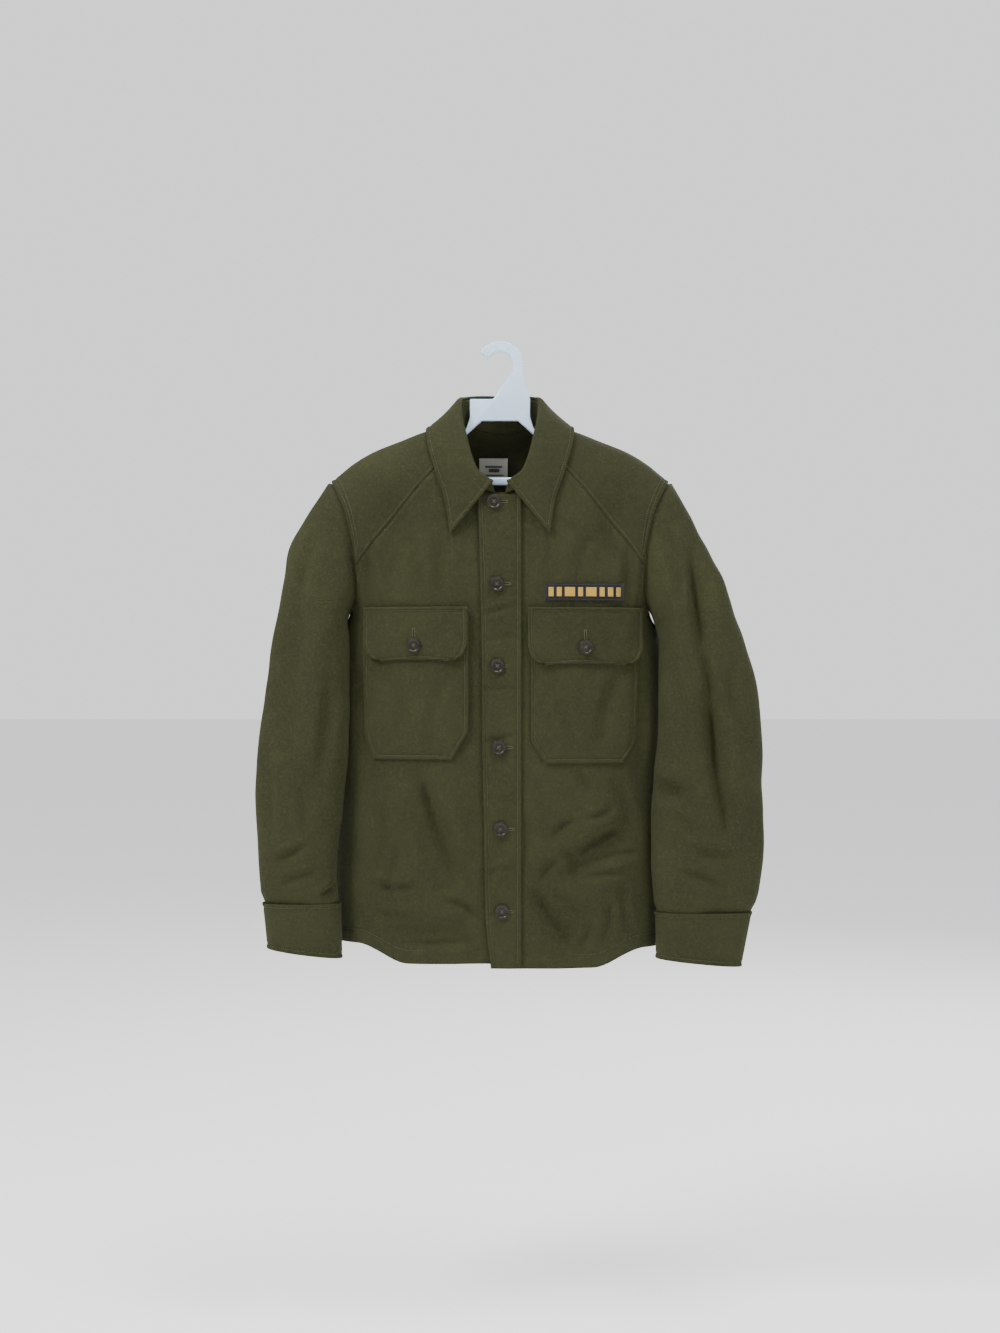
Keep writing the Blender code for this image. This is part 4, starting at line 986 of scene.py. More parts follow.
def flap_outline(flap, grain):
    """Give a flap's rows, from its top to its rounded lower corners."""
    heights = np.linspace(flap["top"], flap["side"], grain["flap_rows"])
    rows = [(z, flap["left"], flap["right"]) for z in heights]
    for angle in np.radians(FLAP_CORNER_TURNS):
        drop = (flap["bottom"] - flap["side"]) * math.sin(angle)
        draw = FLAP_CORNER * (1 - math.cos(angle))
        rows.append((flap["side"] + drop, flap["left"] + draw, flap["right"] - draw))
    return rows


def flap_lift(flap):
    """Let a flap's lower corners stand a little proud of the pocket."""
    def lift(share, z):
        low = ease(flap["top"] - z, FLAP_CURL_START, flap["top"] - flap["bottom"])
        return FLAP_CURL * low * np.abs(2 * share - 1) ** 4
    return lift


def box_rows(box, count):
    """Give the rows of a rectangular patch."""
    left, low, right, high = box
    return [(z, left, right) for z in np.linspace(low, high, count)]


def band_rows(heights):
    """Give the rows of the stitched band on the overlapping front's edge."""
    return [(z, band_edge(z) + BAND_INSET, BAND_RIGHT) for z in heights]


def seat_on_body(x, z, face, offset):
    """Give the seat of a button on the body and the direction that it faces."""
    place = body_points(np.array([x]), np.array([z]), face, offset)
    return place[0], normals(place)[0]


def seat_on_cuff(cuff, side):
    """Give the seat of a cuff's button, on its overlapping end, and where it faces."""
    step = 2 * math.pi / ARM_DIVISIONS
    turn = cuff_start() + np.array([0.0, 1.0]) * step
    rings = [ellipse_ring(*cuff_edges(cuff, share), cuff["depth"], cuff["middle"], 0.0, side, turn)
             for share in CUFF_BUTTON_SHARES]
    facing = np.cross(rings[0][1] - rings[0][0], rings[1][0] - rings[0][0]) * side
    return np.mean(rings, axis=(0, 1)), unit(facing)


def dense_steps(length):
    """Give places from 0 to a length, closer together where both edges are stitched."""
    steps = [step for step in EDGE_STEPS if step < length / 2]
    inner = np.arange(steps[-1], length - steps[-1], PATCH_STEP)
    inner = np.linspace(steps[-1], length - steps[-1], len(inner) + 1)
    return np.concatenate([steps[:-1], inner, length - np.array(steps[-2::-1])])


def dense_rows(rows):
    """Fill in a patch's outline so that its rows stand closer together at both ends."""
    rows = np.array(sorted(rows), dtype=float)
    heights = rows[0, 0] + dense_steps(rows[-1, 0] - rows[0, 0])
    return np.stack([heights, np.interp(heights, rows[:, 0], rows[:, 1]),
                     np.interp(heights, rows[:, 0], rows[:, 2])], axis=-1)


def fine_patch(outline, face, offset, lift=None):
    """Give the fine grid of a patch that lies on the body."""
    rows = dense_rows(outline)
    width = np.max(rows[:, 2] - rows[:, 1])
    return patch(rows, face, offset, dense_steps(width) / width, lift)


def grid_directions(grid, around=False):
    """Give the unit directions across a grid and up it."""
    if around:
        across = np.roll(grid, -1, axis=1) - np.roll(grid, 1, axis=1)
    else:
        across = np.gradient(grid, axis=1)
    up = np.gradient(grid, axis=0)
    return unit(across), unit(up)


def grid_normals(grid, outward, around=False):
    """Give the directions that a grid faces, turned to the given outward one."""
    facing = unit(np.cross(*grid_directions(grid, around)))
    middle = facing[(grid.shape[0] - 1) // 2, 0 if around else grid.shape[1] // 2]
    return facing if np.dot(middle, outward) > 0 else -facing


def run_lengths(grid, axis):
    """Give the distance of each point from its line's start, along rows or columns."""
    steps = np.linalg.norm(np.diff(grid, axis=axis), axis=-1)
    pad = [(0, 0), (0, 0)]
    pad[axis] = (1, 0)
    return np.cumsum(np.pad(steps, pad), axis=axis)


def edge_lengths(grid, edge):
    """Give each point's distance from a named edge of its grid."""
    axis = 0 if edge.endswith("row") else 1
    lengths = run_lengths(grid, axis)
    if edge.startswith("last"):
        return np.take(lengths, [-1], axis=axis) - lengths
    return lengths


def stitched(grid, edges, outward, inset=STITCH_INSET):
    """Raise the folded edges of a piece, sink their stitching and pucker the cloth beside it."""
    height = np.zeros(grid.shape[:2])
    nearest = np.full(grid.shape[:2], np.inf)
    for edge in edges:
        nearest = np.minimum(nearest, edge_lengths(grid, edge))
    height += RIDGE_HEIGHT * np.exp(-((nearest - inset * RIDGE_PLACE) / (inset * RIDGE_WIDTH)) ** 2)
    height -= STITCH_DIP * np.exp(-((nearest - inset) / DIP_WIDTH) ** 2)
    along = grid[..., 0] + grid[..., 2] + PUCKER_SLANT * grid[..., 1]
    uneven = PUCKER_UNEVENNESS * np.sin(along / PUCKER_DRIFT)
    ripple = np.sin(2 * math.pi * along / PUCKER_LENGTH + uneven)
    height += PUCKER * ripple * np.exp(-((nearest - inset) / PUCKER_REACH) ** 2)
    return grid + grid_normals(grid, outward) * height[..., None]


def line_at(grid, edge, inset, outward):
    """Give the points at a distance from an edge of a grid, and the way that each faces."""
    lengths = edge_lengths(grid, edge)
    facing = grid_normals(grid, outward)
    if edge.endswith("row"):
        lengths, grid, facing = lengths.T, grid.swapaxes(0, 1), facing.swapaxes(0, 1)
    if edge.startswith("last"):
        lengths, grid, facing = lengths[:, ::-1], grid[:, ::-1], facing[:, ::-1]
    points, ways = [], []
    for length, line, way in zip(lengths, grid, facing):
        points.append([np.interp(inset, length, line[:, axis]) for axis in range(3)])
        ways.append([np.interp(inset, length, way[:, axis]) for axis in range(3)])
    return np.array(points), np.array(ways)


def settings():
    """Give the sizes and colours that the user set."""
    return bpy.context.scene.field_shirt


def new_object(name, data):
    """Put data into the scene as an object."""
    made = bpy.data.objects.new(name, data)
    bpy.context.scene.collection.objects.link(made)
    return made


def piece_object(name, vertices, faces, node, finish):
    """Make a piece from points in millimetres, standing for a solid of the frame."""
    mesh = bpy.data.meshes.new(name)
    mesh.from_pydata([tuple(point) for point in np.asarray(vertices) * MM], [], faces)
    mesh.materials.append(finish)
    mesh.update()
    made = new_object(name, mesh)
    settle(made, node)
    return made


def settle(made, node):
    """Tie a piece to the frame's body, and hide the solid that it stands for."""
    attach(made, "root")
    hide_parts(node)


def only_selected(*objects):
    """Select these objects alone and make the first one active."""
    bpy.ops.object.select_all(action="DESELECT")
    for each in objects:
        each.select_set(True)
    bpy.context.view_layer.objects.active = objects[0]


def sewn_piece(name, grid, outward, finish, node=None, around=False, wall=WALL,
               cut=True):
    """Make a cloth piece from the fine grid of its outer face, and give it its wall."""
    rows, columns = grid.shape[:2]
    across = columns if around else columns - 1
    facing = grid_normals(grid, outward, around)
    cross = np.cross(*grid_directions(grid, around))
    turned = np.sum(facing * cross) < 0
    faces = []
    for row in range(rows - 1):
        for column in range(across):
            beside = (column + 1) % columns
            low, high = row * columns, (row + 1) * columns
            face = (low + column, low + beside, high + beside, high + column)
            faces.append(face[::-1] if turned else face)
    made = piece_object(f"{name}_sewn", grid.reshape(-1, 3), faces, node or name, finish)
    made.data.shade_smooth()
    closed = np.concatenate([grid, grid[:, :1]], axis=1) if around else grid
    over, up = run_lengths(closed, 1) * MM, run_lengths(closed, 0) * MM
    weave = made.data.uv_layers.new(name="weave")
    uv = np.empty((len(made.data.loops), 2))
    spots = np.empty(len(made.data.loops), dtype=int)
    made.data.loops.foreach_get("vertex_index", spots)
    row, column = np.divmod(spots, columns)
    uv[:, 0], uv[:, 1] = over[row, column], up[row, column]
    weave.data.foreach_set("uv", uv.ravel())
    solid = made.modifiers.new("Wall", "SOLIDIFY")
    solid.thickness = wall * MM
    solid.offset = -1.0
    only_selected(made)
    bpy.ops.object.modifier_apply(modifier=solid.name)
    if cut:
        steps = np.cross(closed[1:, 1:] - closed[:-1, :-1], closed[1:, :-1] - closed[:-1, 1:])


SEAMS = {"wool": [], "tape": [], "label": []}


def sew(points, ways, thread="wool"):
    """Note a row of stitches along a line of points, to be made with the others."""
    sizes = settings()
    lengths = np.concatenate([[0.0], np.cumsum(np.linalg.norm(np.diff(points, axis=0), axis=-1))])
    pitch = (sizes.stitch_length + sizes.stitch_gap) / MM
    middles = np.arange(pitch, lengths[-1] - pitch / 2, pitch)
    ends = [np.stack([np.interp(middles + half * sizes.stitch_length / MM / 2, lengths,
                                points[:, axis]) for axis in range(3)], axis=-1)
            for half in (-1, 1)]
    facing = np.stack([np.interp(middles, lengths, ways[:, axis]) for axis in range(3)], axis=-1)
    SEAMS[thread].append((*ends, facing))


def sew_edges(grid, edges, outward, inset=STITCH_INSET, thread="wool"):
    """Sew along the named edges of a piece, at a distance inside them."""
    for edge in edges:
        points, ways = line_at(grid, edge, inset, outward)
        trim = max(1, int(np.searchsorted(run_lengths(points[:, None], 0)[:, 0], inset)))
        sew(points[trim:-trim], ways[trim:-trim], thread)


def stitched_piece(name, grid, outward, edges):
    """Make a wool piece with stitching along its named edges."""
    grid = stitched(grid, edges, outward)
    sewn_piece(name, grid, outward, wool())
    sew_edges(grid, edges, outward)
    return grid


def hemmed_panel(name, grid, sides, outward):
    """Make a front or the back, stitched at its hem and beside its armholes."""
    grid = stitched(stitched(grid, sides, outward), ["first_row"], outward, HEM_INSET)
    sewn_piece(name, grid, outward, wool())
    sew_edges(grid, ["first_row"], outward, HEM_INSET)
    for side in sides:
        sew_part(grid, side, ARM_INSETS[0], outward, slice(FINE["low_rows"], -END_STEPS))


def sew_part(grid, edge, inset, outward, *parts):
    """Sew along parts of one edge, at a distance inside it."""
    points, ways = line_at(grid, edge, inset, outward)
    for part in parts:
        sew(points[part], ways[part])


def add_bars(bars, rows, face, layer, finish, slot, node):
    """Lay plain bars on the tape or the label."""
    for number, box in enumerate(bars, start=1):
        bar = fine_patch(box_rows(box, FINE[rows]), face, layer)
        sewn_piece(f"{slot}_bar_{number}", bar, FRONT, finish, node, wall=BAR_WALL,
                   cut=False)


class Value:
    """A shader socket that Python expressions can work on."""

    def __init__(self, finish, socket):
        self.finish, self.socket = finish, socket

    def worked(self, operation, first, second):
        return self.finish.node("ShaderNodeMath", {"operation": operation}, {0: first, 1: second})

    def __add__(self, other):
        return self.worked("ADD", self, other)

    def __rsub__(self, other):
        return self.worked("SUBTRACT", other, self)

    def __mul__(self, other):
        return self.worked("MULTIPLY", self, other)


class Finish:
    """A material with one Principled shader, and the nodes that feed it."""

    def __init__(self, name, **constants):
        self.material = bpy.data.materials.new(name)
        self.material.use_nodes = True
        self.tree = self.material.node_tree
        self.shader = self.tree.nodes["Principled BSDF"]
        for socket, value in constants.items():
            socket = socket.replace("_", " ").title().replace("Ior", "IOR")
            self.shader.inputs[socket].default_value = value
        self.place = self.node("ShaderNodeTexCoord", output="Object")

    def node(self, kind, choices=None, inputs=None, output=0):
        """Add a node: its type, its settings, then the values or links of its sockets."""
        made = self.tree.nodes.new(kind)
        for choice, value in (choices or {}).items():
            setattr(made, choice, value)
        for socket, value in (inputs or {}).items():
            self.feed(made.inputs[socket], value)
        return Value(self, made.outputs[output])

    def feed(self, socket, value):
        """Link a value to a socket, or set the socket to a number or colour."""
        if isinstance(value, Value):
            self.tree.links.new(value.socket, socket)
        else:
            socket.default_value = value

    def noise(self, scale, detail=2.0, roughness=0.5, distortion=0.0):
        """Give a noise pattern on the piece, with its features 1 / scale metres apart."""
        return self.node("ShaderNodeTexNoise", {}, {
            "Vector": self.place, "Scale": scale, "Detail": detail,
            "Roughness": roughness, "Distortion": distortion})

    def spread(self, value, low, high, to_low=0.0, to_high=1.0):
        """Stretch part of a value's range, with soft ends."""
        return self.node("ShaderNodeMapRange", {"interpolation_type": "SMOOTHSTEP"}, {
            "Value": value, "From Min": low, "From Max": high, "To Min": to_low,
            "To Max": to_high})

    def mix(self, share, first, second):
        """Mix two colours."""
        made = self.tree.nodes.new("ShaderNodeMix")
        made.data_type = "RGBA"
        for socket, value in zip([made.inputs[0], made.inputs[6], made.inputs[7]],
                                 [share, first, second]):
            self.feed(socket, value)
        return Value(self, made.outputs[2])

    def weave(self, pitch, direction, distortion=0.6):
        """Give bands on the piece's own weave map, a pitch in millimetres apart."""
        uv = self.node("ShaderNodeUVMap", {"uv_map": "weave"})
        slant = math.sqrt(2) if direction == "DIAGONAL" else 1.0
        return self.node("ShaderNodeTexWave", {"bands_direction": direction}, {
            "Vector": uv, "Scale": 2 * math.pi / (10 * pitch * MM * slant),
            "Distortion": distortion, "Detail": 1.0, "Detail Scale": 0.02}, output="Fac")

    def relief(self, height, strength, depth):
        """Bump the surface by a height."""
        bump = self.node("ShaderNodeBump", {}, {"Height": height, "Strength": strength,
                                                "Distance": depth * MM}, output="Normal")
        self.feed(self.shader.inputs["Normal"], bump)

    def colour(self, value):
        self.feed(self.shader.inputs["Base Color"], value)

    def rough(self, value):
        self.feed(self.shader.inputs["Roughness"], value)


def shade(colour, share):
    """Give a colour made lighter or darker by a share."""
    return (*[channel * share for channel in colour], 1.0)


def wool_finish():
    """Napped wool twill: soft twill lines under fuzz, uneven dye and pale lint."""
    cloth = settings().wool_colour
    made = Finish("napped wool", sheen_weight=0.22, sheen_roughness=0.4,
                  specular_ior_level=0.25)
    made.shader.inputs["Sheen Tint"].default_value = shade(cloth, 5.0)
    tone = made.spread(made.noise(11.0, 3.0, 0.55), 0.34, 0.66)
    mottle = made.spread(made.noise(85.0, 3.0, 0.6), 0.3, 0.7)
    fuzz = made.noise(330.0, 5.0, 0.75, 0.6)
    hair = made.noise(1700.0, 2.0, 0.6, 1.5)
    lint = made.spread(made.noise(240.0, 2.0, 0.5), 0.66, 0.78)
    twill = made.weave(1.25, "DIAGONAL", 1.2)
    body = made.mix(tone, shade(cloth, 0.84), shade(cloth, 1.16))
    body = made.mix(mottle * 0.5, body, shade(cloth, 0.74))
    body = made.mix(made.spread(fuzz, 0.42, 0.68) * 0.8, body, shade(cloth, 1.75))
    body = made.mix((1 - twill) * 0.3, body, shade(cloth, 0.5))
    made.colour(made.mix(lint * 0.3, body, shade(cloth, 2.6)))
    made.rough(made.spread(fuzz, 0.2, 0.8, 0.82, 0.97))
    made.relief(fuzz + hair * 0.35 + twill * 0.25 + mottle * 0.5, 0.8, 1.2)
    return made.material


def thread_finish(name, colour, roughness=0.6):
    """Twisted sewing thread."""
    made = Finish(name, sheen_weight=0.2, specular_ior_level=0.35)
    twist = made.noise(1500.0, 2.0, 0.5)
    made.colour(made.mix(twist, shade(colour, 0.75), shade(colour, 1.3)))
    made.rough(made.spread(twist, 0.2, 0.8, roughness, roughness + 0.15))
    made.relief(twist, 0.3, 0.2)
    return made.material


def woven_finish(name, colour, pitch, contrast):
    """Plain woven tape, its threads crossing at right angles."""
    made = Finish(name, sheen_weight=0.15, specular_ior_level=0.3)
    warp, weft = made.weave(pitch, "X"), made.weave(pitch * 1.2, "Y")
    grime = made.spread(made.noise(60.0, 3.0, 0.6), 0.35, 0.7)
    crossing = warp * weft
    body = made.mix(crossing, shade(colour, 1 - contrast), shade(colour, 1 + contrast))
    made.colour(made.mix(grime * 0.35, body, shade(colour, 0.72)))
    made.rough(made.spread(grime, 0.0, 1.0, 0.78, 0.9))
    made.relief(crossing + made.noise(900.0) * 0.4, 0.5, 0.25)
    return made.material


def satin_finish(name, colour, pitch):
    """Bars of close satin stitches."""
    made = Finish(name, sheen_weight=0.2, specular_ior_level=0.45)
    strands = made.weave(pitch, "Y", 1.0)
    fray = made.noise(500.0, 3.0, 0.6)
    body = made.mix(strands, shade(colour, 0.62), shade(colour, 1.12))
    made.colour(made.mix(made.spread(fray, 0.5, 0.75) * 0.4, body, shade(colour, 0.7)))
    made.rough(made.spread(fray, 0.2, 0.8, 0.42, 0.62))
    made.relief(strands + fray * 0.3, 0.7, 0.3)
    return made.material


def button_finish():
    """Dark brown moulded buttons with a faint marbling and worn gloss."""
    colour = settings().button_colour
    made = Finish("button plastic", coat_weight=0.1, coat_roughness=0.25,
                  specular_ior_level=0.3)
    cloud = made.spread(made.noise(140.0, 4.0, 0.6, 1.5), 0.35, 0.68)
    wear = made.noise(900.0, 3.0, 0.6)
    made.colour(made.mix(cloud, shade(colour, 0.7), shade(colour, 1.9)))
    made.rough(made.spread(wear, 0.3, 0.75, 0.26, 0.46))
    made.relief(wear, 0.12, 0.1)
    return made.material


def hanger_finish():
    """Pale blue moulded plastic, a little milky, with fine handling scratches."""
    colour = settings().hanger_colour
    made = Finish("hanger plastic", subsurface_weight=0.18, subsurface_scale=0.004,
                  coat_weight=0.25, coat_roughness=0.2, specular_ior_level=0.5)
    milk = made.spread(made.noise(30.0, 2.0, 0.5), 0.3, 0.7)
    scratch = made.noise(260.0, 3.0, 0.7, 2.5)
    made.colour(made.mix(milk, shade(colour, 0.93), shade(colour, 1.03)))
    made.rough(made.spread(scratch, 0.3, 0.75, 0.28, 0.46))
    made.relief(made.spread(scratch, 0.45, 0.62) + milk * 0.3, 0.1, 0.15)
    return made.material


def slit_shade_finish():
    """Painted shade for the inside of a buttonhole: near-black colours standing for the shadow in
    the slit.
    """
    made = Finish("slit", specular_ior_level=0.1)
    depth = made.noise(600.0)
    # painted shade: the two near-black colours stand for the shadow inside the cut
    made.colour(made.mix(depth, (0.004, 0.004, 0.003, 1.0), (0.012, 0.011, 0.006, 1.0)))
    made.rough(made.spread(depth, 0.2, 0.8, 0.85, 0.95))
    return made.material


FINISHES = {}


def finish_named(name, maker, *details):
    """Give a finish, made the first time that it is asked for."""
    if name not in FINISHES:
        FINISHES[name] = maker(*details)
    return FINISHES[name]


def wool():
    """Give the cloth of every wool piece."""
    return finish_named("wool", wool_finish)


def wool_thread():
    """Give the thread that sews the wool, a little paler."""
    return finish_named("wool thread", thread_finish, "wool thread",
                        [channel * THREAD_SHARE for channel in settings().wool_colour])


class FieldShirtSettings(bpy.types.PropertyGroup):
    """Sizes and colours of the shirt."""

    wool_colour: FloatVectorProperty(name="Wool", description="Colour of the wool cloth",
                                     subtype="COLOR", default=(0.0272, 0.0290, 0.0100))
    button_colour: FloatVectorProperty(name="Buttons", description="Colour of the buttons",
                                       subtype="COLOR", default=(0.010, 0.0075, 0.004))
    tape_colour: FloatVectorProperty(name="Tape", description="Colour of the name tape",
                                     subtype="COLOR", default=(0.008, 0.008, 0.011))
    bar_colour: FloatVectorProperty(name="Bars", description="Colour of the bars on the tape",
                                    subtype="COLOR", default=(0.62, 0.37, 0.035))
    label_colour: FloatVectorProperty(name="Label", description="Colour of the neck label",
                                      subtype="COLOR", default=(0.66, 0.64, 0.55))
    hanger_colour: FloatVectorProperty(name="Hanger", description="Colour of the hanger",
                                       subtype="COLOR", default=(0.6, 0.77, 0.97))
    stitch_length: FloatProperty(name="Stitch", description="Length of one stitch",
                                 subtype="DISTANCE", default=0.0024)
    stitch_gap: FloatProperty(name="Stitch Gap", description="Gap between stitches",
                              subtype="DISTANCE", default=0.0008)
    stitch_width: FloatProperty(name="Thread", description="Width of the sewing thread",
                                subtype="DISTANCE", default=0.0007)
    hanger_rounding: FloatProperty(name="Hanger Rounding",
                                   description="Radius of the hanger's moulded edges",
                                   subtype="DISTANCE", default=0.0018)
    floor_depth: FloatProperty(name="Floor", description="Depth of the floor below the hook",
                               subtype="DISTANCE", default=1.3)
    camera_distance: FloatProperty(name="Camera", description="Distance of the camera",
                                   subtype="DISTANCE", default=2.6)
    lens: FloatProperty(name="Lens", description="Focal length of the camera in millimetres",
                        default=52.8)


class ShirtOperator(bpy.types.Operator):
    """Shared settings of the shirt's operators."""

    bl_options = {"REGISTER", "UNDO"}

    def execute(self, context):
        self.make()
        return {"FINISHED"}


class FIELD_SHIRT_OT_fronts(ShirtOperator):
    """Cut and sew both fronts, the right one lapping over the left one"""

    bl_idname = "field_shirt.fronts"
    bl_label = "Fronts"

    def make(self):
        for name, grid in zip(("front_left", "front_right"), front_panels(FINE)):
            hemmed_panel(name, grid, ["first_column"], FRONT)


class FIELD_SHIRT_OT_back(ShirtOperator):
    """Cut and sew the back"""

    bl_idname = "field_shirt.back"
    bl_label = "Back"

    def make(self):
        hemmed_panel("back", back_panel(FINE), ["first_column", "last_column"], REAR)


class FIELD_SHIRT_OT_yoke(ShirtOperator):
    """Cut and sew the yoke over both shoulders"""

    bl_idname = "field_shirt.yoke"
    bl_label = "Yoke"

    def make(self):
        edges = ["first_column", "last_column", "last_row"]
        grid = stitched_piece("yoke", yoke_panel(FINE), UPPER_REAR, edges)
        armhole = YOKE_FRONT_DIVISION + YOKE_BACK_DIVISION
        sew_part(grid, "last_row", ARM_INSETS[1], UPPER_REAR,
                 slice(END_STEPS, armhole), slice(-armhole, -END_STEPS))


class FIELD_SHIRT_OT_sleeves(ShirtOperator):
    """Cut and sew both sleeves, with their long creases"""

    bl_idname = "field_shirt.sleeves"
    bl_label = "Sleeves"

    def make(self):
        for name, side, table, cuff in (("left", -1, SLEEVE_LEFT, CUFF_LEFT),
                                        ("right", 1, SLEEVE_RIGHT, CUFF_RIGHT)):
            grid = sleeve_points(side, table, cuff, FINE)
            sewn_piece(f"sleeve_{name}", grid, (side, 0.0, 0.0), wool(), around=True)


class FIELD_SHIRT_OT_cuffs(ShirtOperator):
    """Cut and sew both cuffs, each lapping over its own end"""

    bl_idname = "field_shirt.cuffs"
    bl_label = "Cuffs"

    def make(self):
        edges = ["first_row", "last_row", "first_column"]
        for name, side, cuff in (("left", -1, CUFF_LEFT), ("right", 1, CUFF_RIGHT)):
            grid = cuff_points(side, cuff, FINE)
            rough = waves(grid[..., 0], grid[..., 2], FACE_SHIFT["sleeve"]) * CUFF_WAVE_SHARE
            grid = grid + grid_normals(grid, FRONT) * rough[..., None]
            stitched_piece(f"cuff_{name}", grid, FRONT, edges)


class FIELD_SHIRT_OT_collar(ShirtOperator):
    """Cut and sew the collar: its stand, and the fall that turns over it"""

    bl_idname = "field_shirt.collar"
    bl_label = "Collar"

    def make(self):
        sewn_piece("collar_stand", stand_rows(FINE), FRONT, wool())
        fall = fall_rows(FINE)
        rough = waves(fall[..., 0], fall[..., 2], FACE_SHIFT["sleeve"]) * COLLAR_WAVE_SHARE
        far = ease(edge_lengths(fall, "first_row"), *COLLAR_WAVE_START)
        fall = fall + grid_normals(fall, REAR) * (rough * far)[..., None]
        stitched_piece("collar_fall", fall, REAR, ["last_row", "first_column", "last_column"])


class FIELD_SHIRT_OT_band(ShirtOperator):
    """Cut and sew the band on the overlapping front"""

    bl_idname = "field_shirt.band"
    bl_label = "Button Band"

    def make(self):
        heights = np.linspace(HEM_RIGHT + BAND_HEM_GAP, BAND_TOP, FINE["band_rows"])
        rows = np.array(band_rows(heights))
        width = np.max(rows[:, 2] - rows[:, 1])
        grid = patch(rows, "front", BAND_LAYER, dense_steps(width) / width)
        stitched_piece("button_band", grid, FRONT, ["first_column", "last_column"])


class FIELD_SHIRT_OT_pockets(ShirtOperator):
    """Cut and sew both patch pockets and their flaps"""

    bl_idname = "field_shirt.pockets"
    bl_label = "Pockets and Flaps"

    def make(self):
        edges = ["first_row", "first_column", "last_column"]
        for name, pocket, flap in (("left", POCKET_LEFT, FLAP_LEFT),
                                   ("right", POCKET_RIGHT, FLAP_RIGHT)):
            grid = fine_patch(pocket_outline(pocket, FINE), "front", LAYER)
            stitched_piece(f"pocket_{name}", grid, FRONT, edges)
            grid = fine_patch(flap_outline(flap, FINE), "front", 2 * LAYER, flap_lift(flap))
            stitched_piece(f"flap_{name}", grid, FRONT, edges + ["last_row"])


class FIELD_SHIRT_OT_tape(ShirtOperator):
    """Cut the black tape over the pocket and sew plain gold bars on it"""

    bl_idname = "field_shirt.tape"
    bl_label = "Chest Tape"

    def make(self):
        tape = finish_named("tape", woven_finish, "black tape", settings().tape_colour, 0.7, 0.5)
        gold = finish_named("gold", satin_finish, "gold thread", settings().bar_colour, 0.55)
        layer = LAP_GAP + STRIP_WALL
        grid = fine_patch(box_rows(STRIP_BOX, FINE["strip_rows"]), "front", layer)
        sewn_piece("name_strip", grid, FRONT, tape, wall=STRIP_WALL)
        edges = ["first_row", "last_row", "first_column", "last_column"]
        sew_edges(grid, edges, FRONT, TAPE_INSET, "tape")
        add_bars(STRIP_BARS, "strip_rows", "front", layer + BAR_WALL, gold, "tape", "name_strip")


class FIELD_SHIRT_OT_label(ShirtOperator):
    """Cut the label inside the neck, with plain grey bars on it"""

    bl_idname = "field_shirt.label"
    bl_label = "Neck Label"

    def make(self):
        white = finish_named("label", woven_finish, "white label", settings().label_colour,
                             0.5, 0.12)
        grey = finish_named("grey", satin_finish, "grey thread", GREY_BARS, 0.5)
        layer = -LAYER - LABEL_WALL
        grid = fine_patch(box_rows(LABEL_BOX, FINE["label_rows"]), "back", layer)
        sewn_piece("neck_label", grid, FRONT, white, wall=LABEL_WALL)
        sew_edges(grid, ["first_row", "last_row"], FRONT, LABEL_INSET, "label")
        add_bars(LABEL_BARS, "label_rows", "back", layer - BAR_WALL, grey, "label", "neck_label")


def seated(place, facing, up):
    """Give the matrix that stands a piece on its seat, in metres."""
    facing = Vector(facing).normalized()
    side = Vector(up).cross(facing).normalized()
    turn = Matrix([side, facing.cross(side), facing]).transposed().to_4x4()
    return Matrix.Translation([value * MM for value in place]) @ turn


def placed_copy(pattern, name, matrix, node):
    """Copy a finished piece to a place, as a mesh of its own."""
    mesh = pattern.data.copy()
    mesh.transform(matrix)
    settle(new_object(name, mesh), node)


def pattern_button():
    """Model one four-hole button with a dished face and its crossed thread."""
    bpy.ops.object.select_all(action="DESELECT")
    bpy.ops.mesh.primitive_cylinder_add(vertices=48, radius=BUTTON_RADIUS * MM,
                                        depth=BUTTON_DEPTH * MM,
                                        location=(0, 0, BUTTON_DEPTH * MM / 2))
    button = bpy.context.object
    bpy.ops.object.transform_apply()
    bpy.ops.object.mode_set(mode="EDIT")
    shell = bmesh.from_edit_mesh(button.data)
    for face in shell.faces:
        face.select_set(face.normal.z > 0.9)
    bmesh.update_edit_mesh(button.data)
    bpy.ops.mesh.inset(thickness=BUTTON_RIM * MM)
    bpy.ops.mesh.inset(thickness=BUTTON_SLOPE * MM)
    bpy.ops.transform.translate(value=(0, 0, -BUTTON_DISH * MM))
    bpy.ops.object.mode_set(mode="OBJECT")
    edge = button.modifiers.new("Rim", "BEVEL")
    edge.width, edge.segments, edge.angle_limit = BUTTON_EDGE * MM, 3, math.radians(25)
    bpy.ops.object.modifier_apply(modifier=edge.name)
    spots = [(x * HOLE_PLACE, y * HOLE_PLACE) for x in (-1, 1) for y in (-1, 1)]
    for x, y in spots:
        only_selected(button)
        bpy.ops.object.select_all(action="DESELECT")
        bpy.ops.mesh.primitive_cylinder_add(vertices=14, radius=HOLE_RADIUS * MM,
                                            depth=BUTTON_DEPTH * MM,
                                            location=(x * MM, y * MM, HOLE_HEIGHT * MM))
        drill = bpy.context.object
        only_selected(button)
        hole = button.modifiers.new("Hole", "BOOLEAN")
        hole.object, hole.operation, hole.solver = drill, "DIFFERENCE", "EXACT"
        bpy.ops.object.modifier_apply(modifier=hole.name)
        bpy.data.objects.remove(drill)
    only_selected(button)
    bpy.ops.object.shade_smooth_by_angle(angle=math.radians(35))
    return button


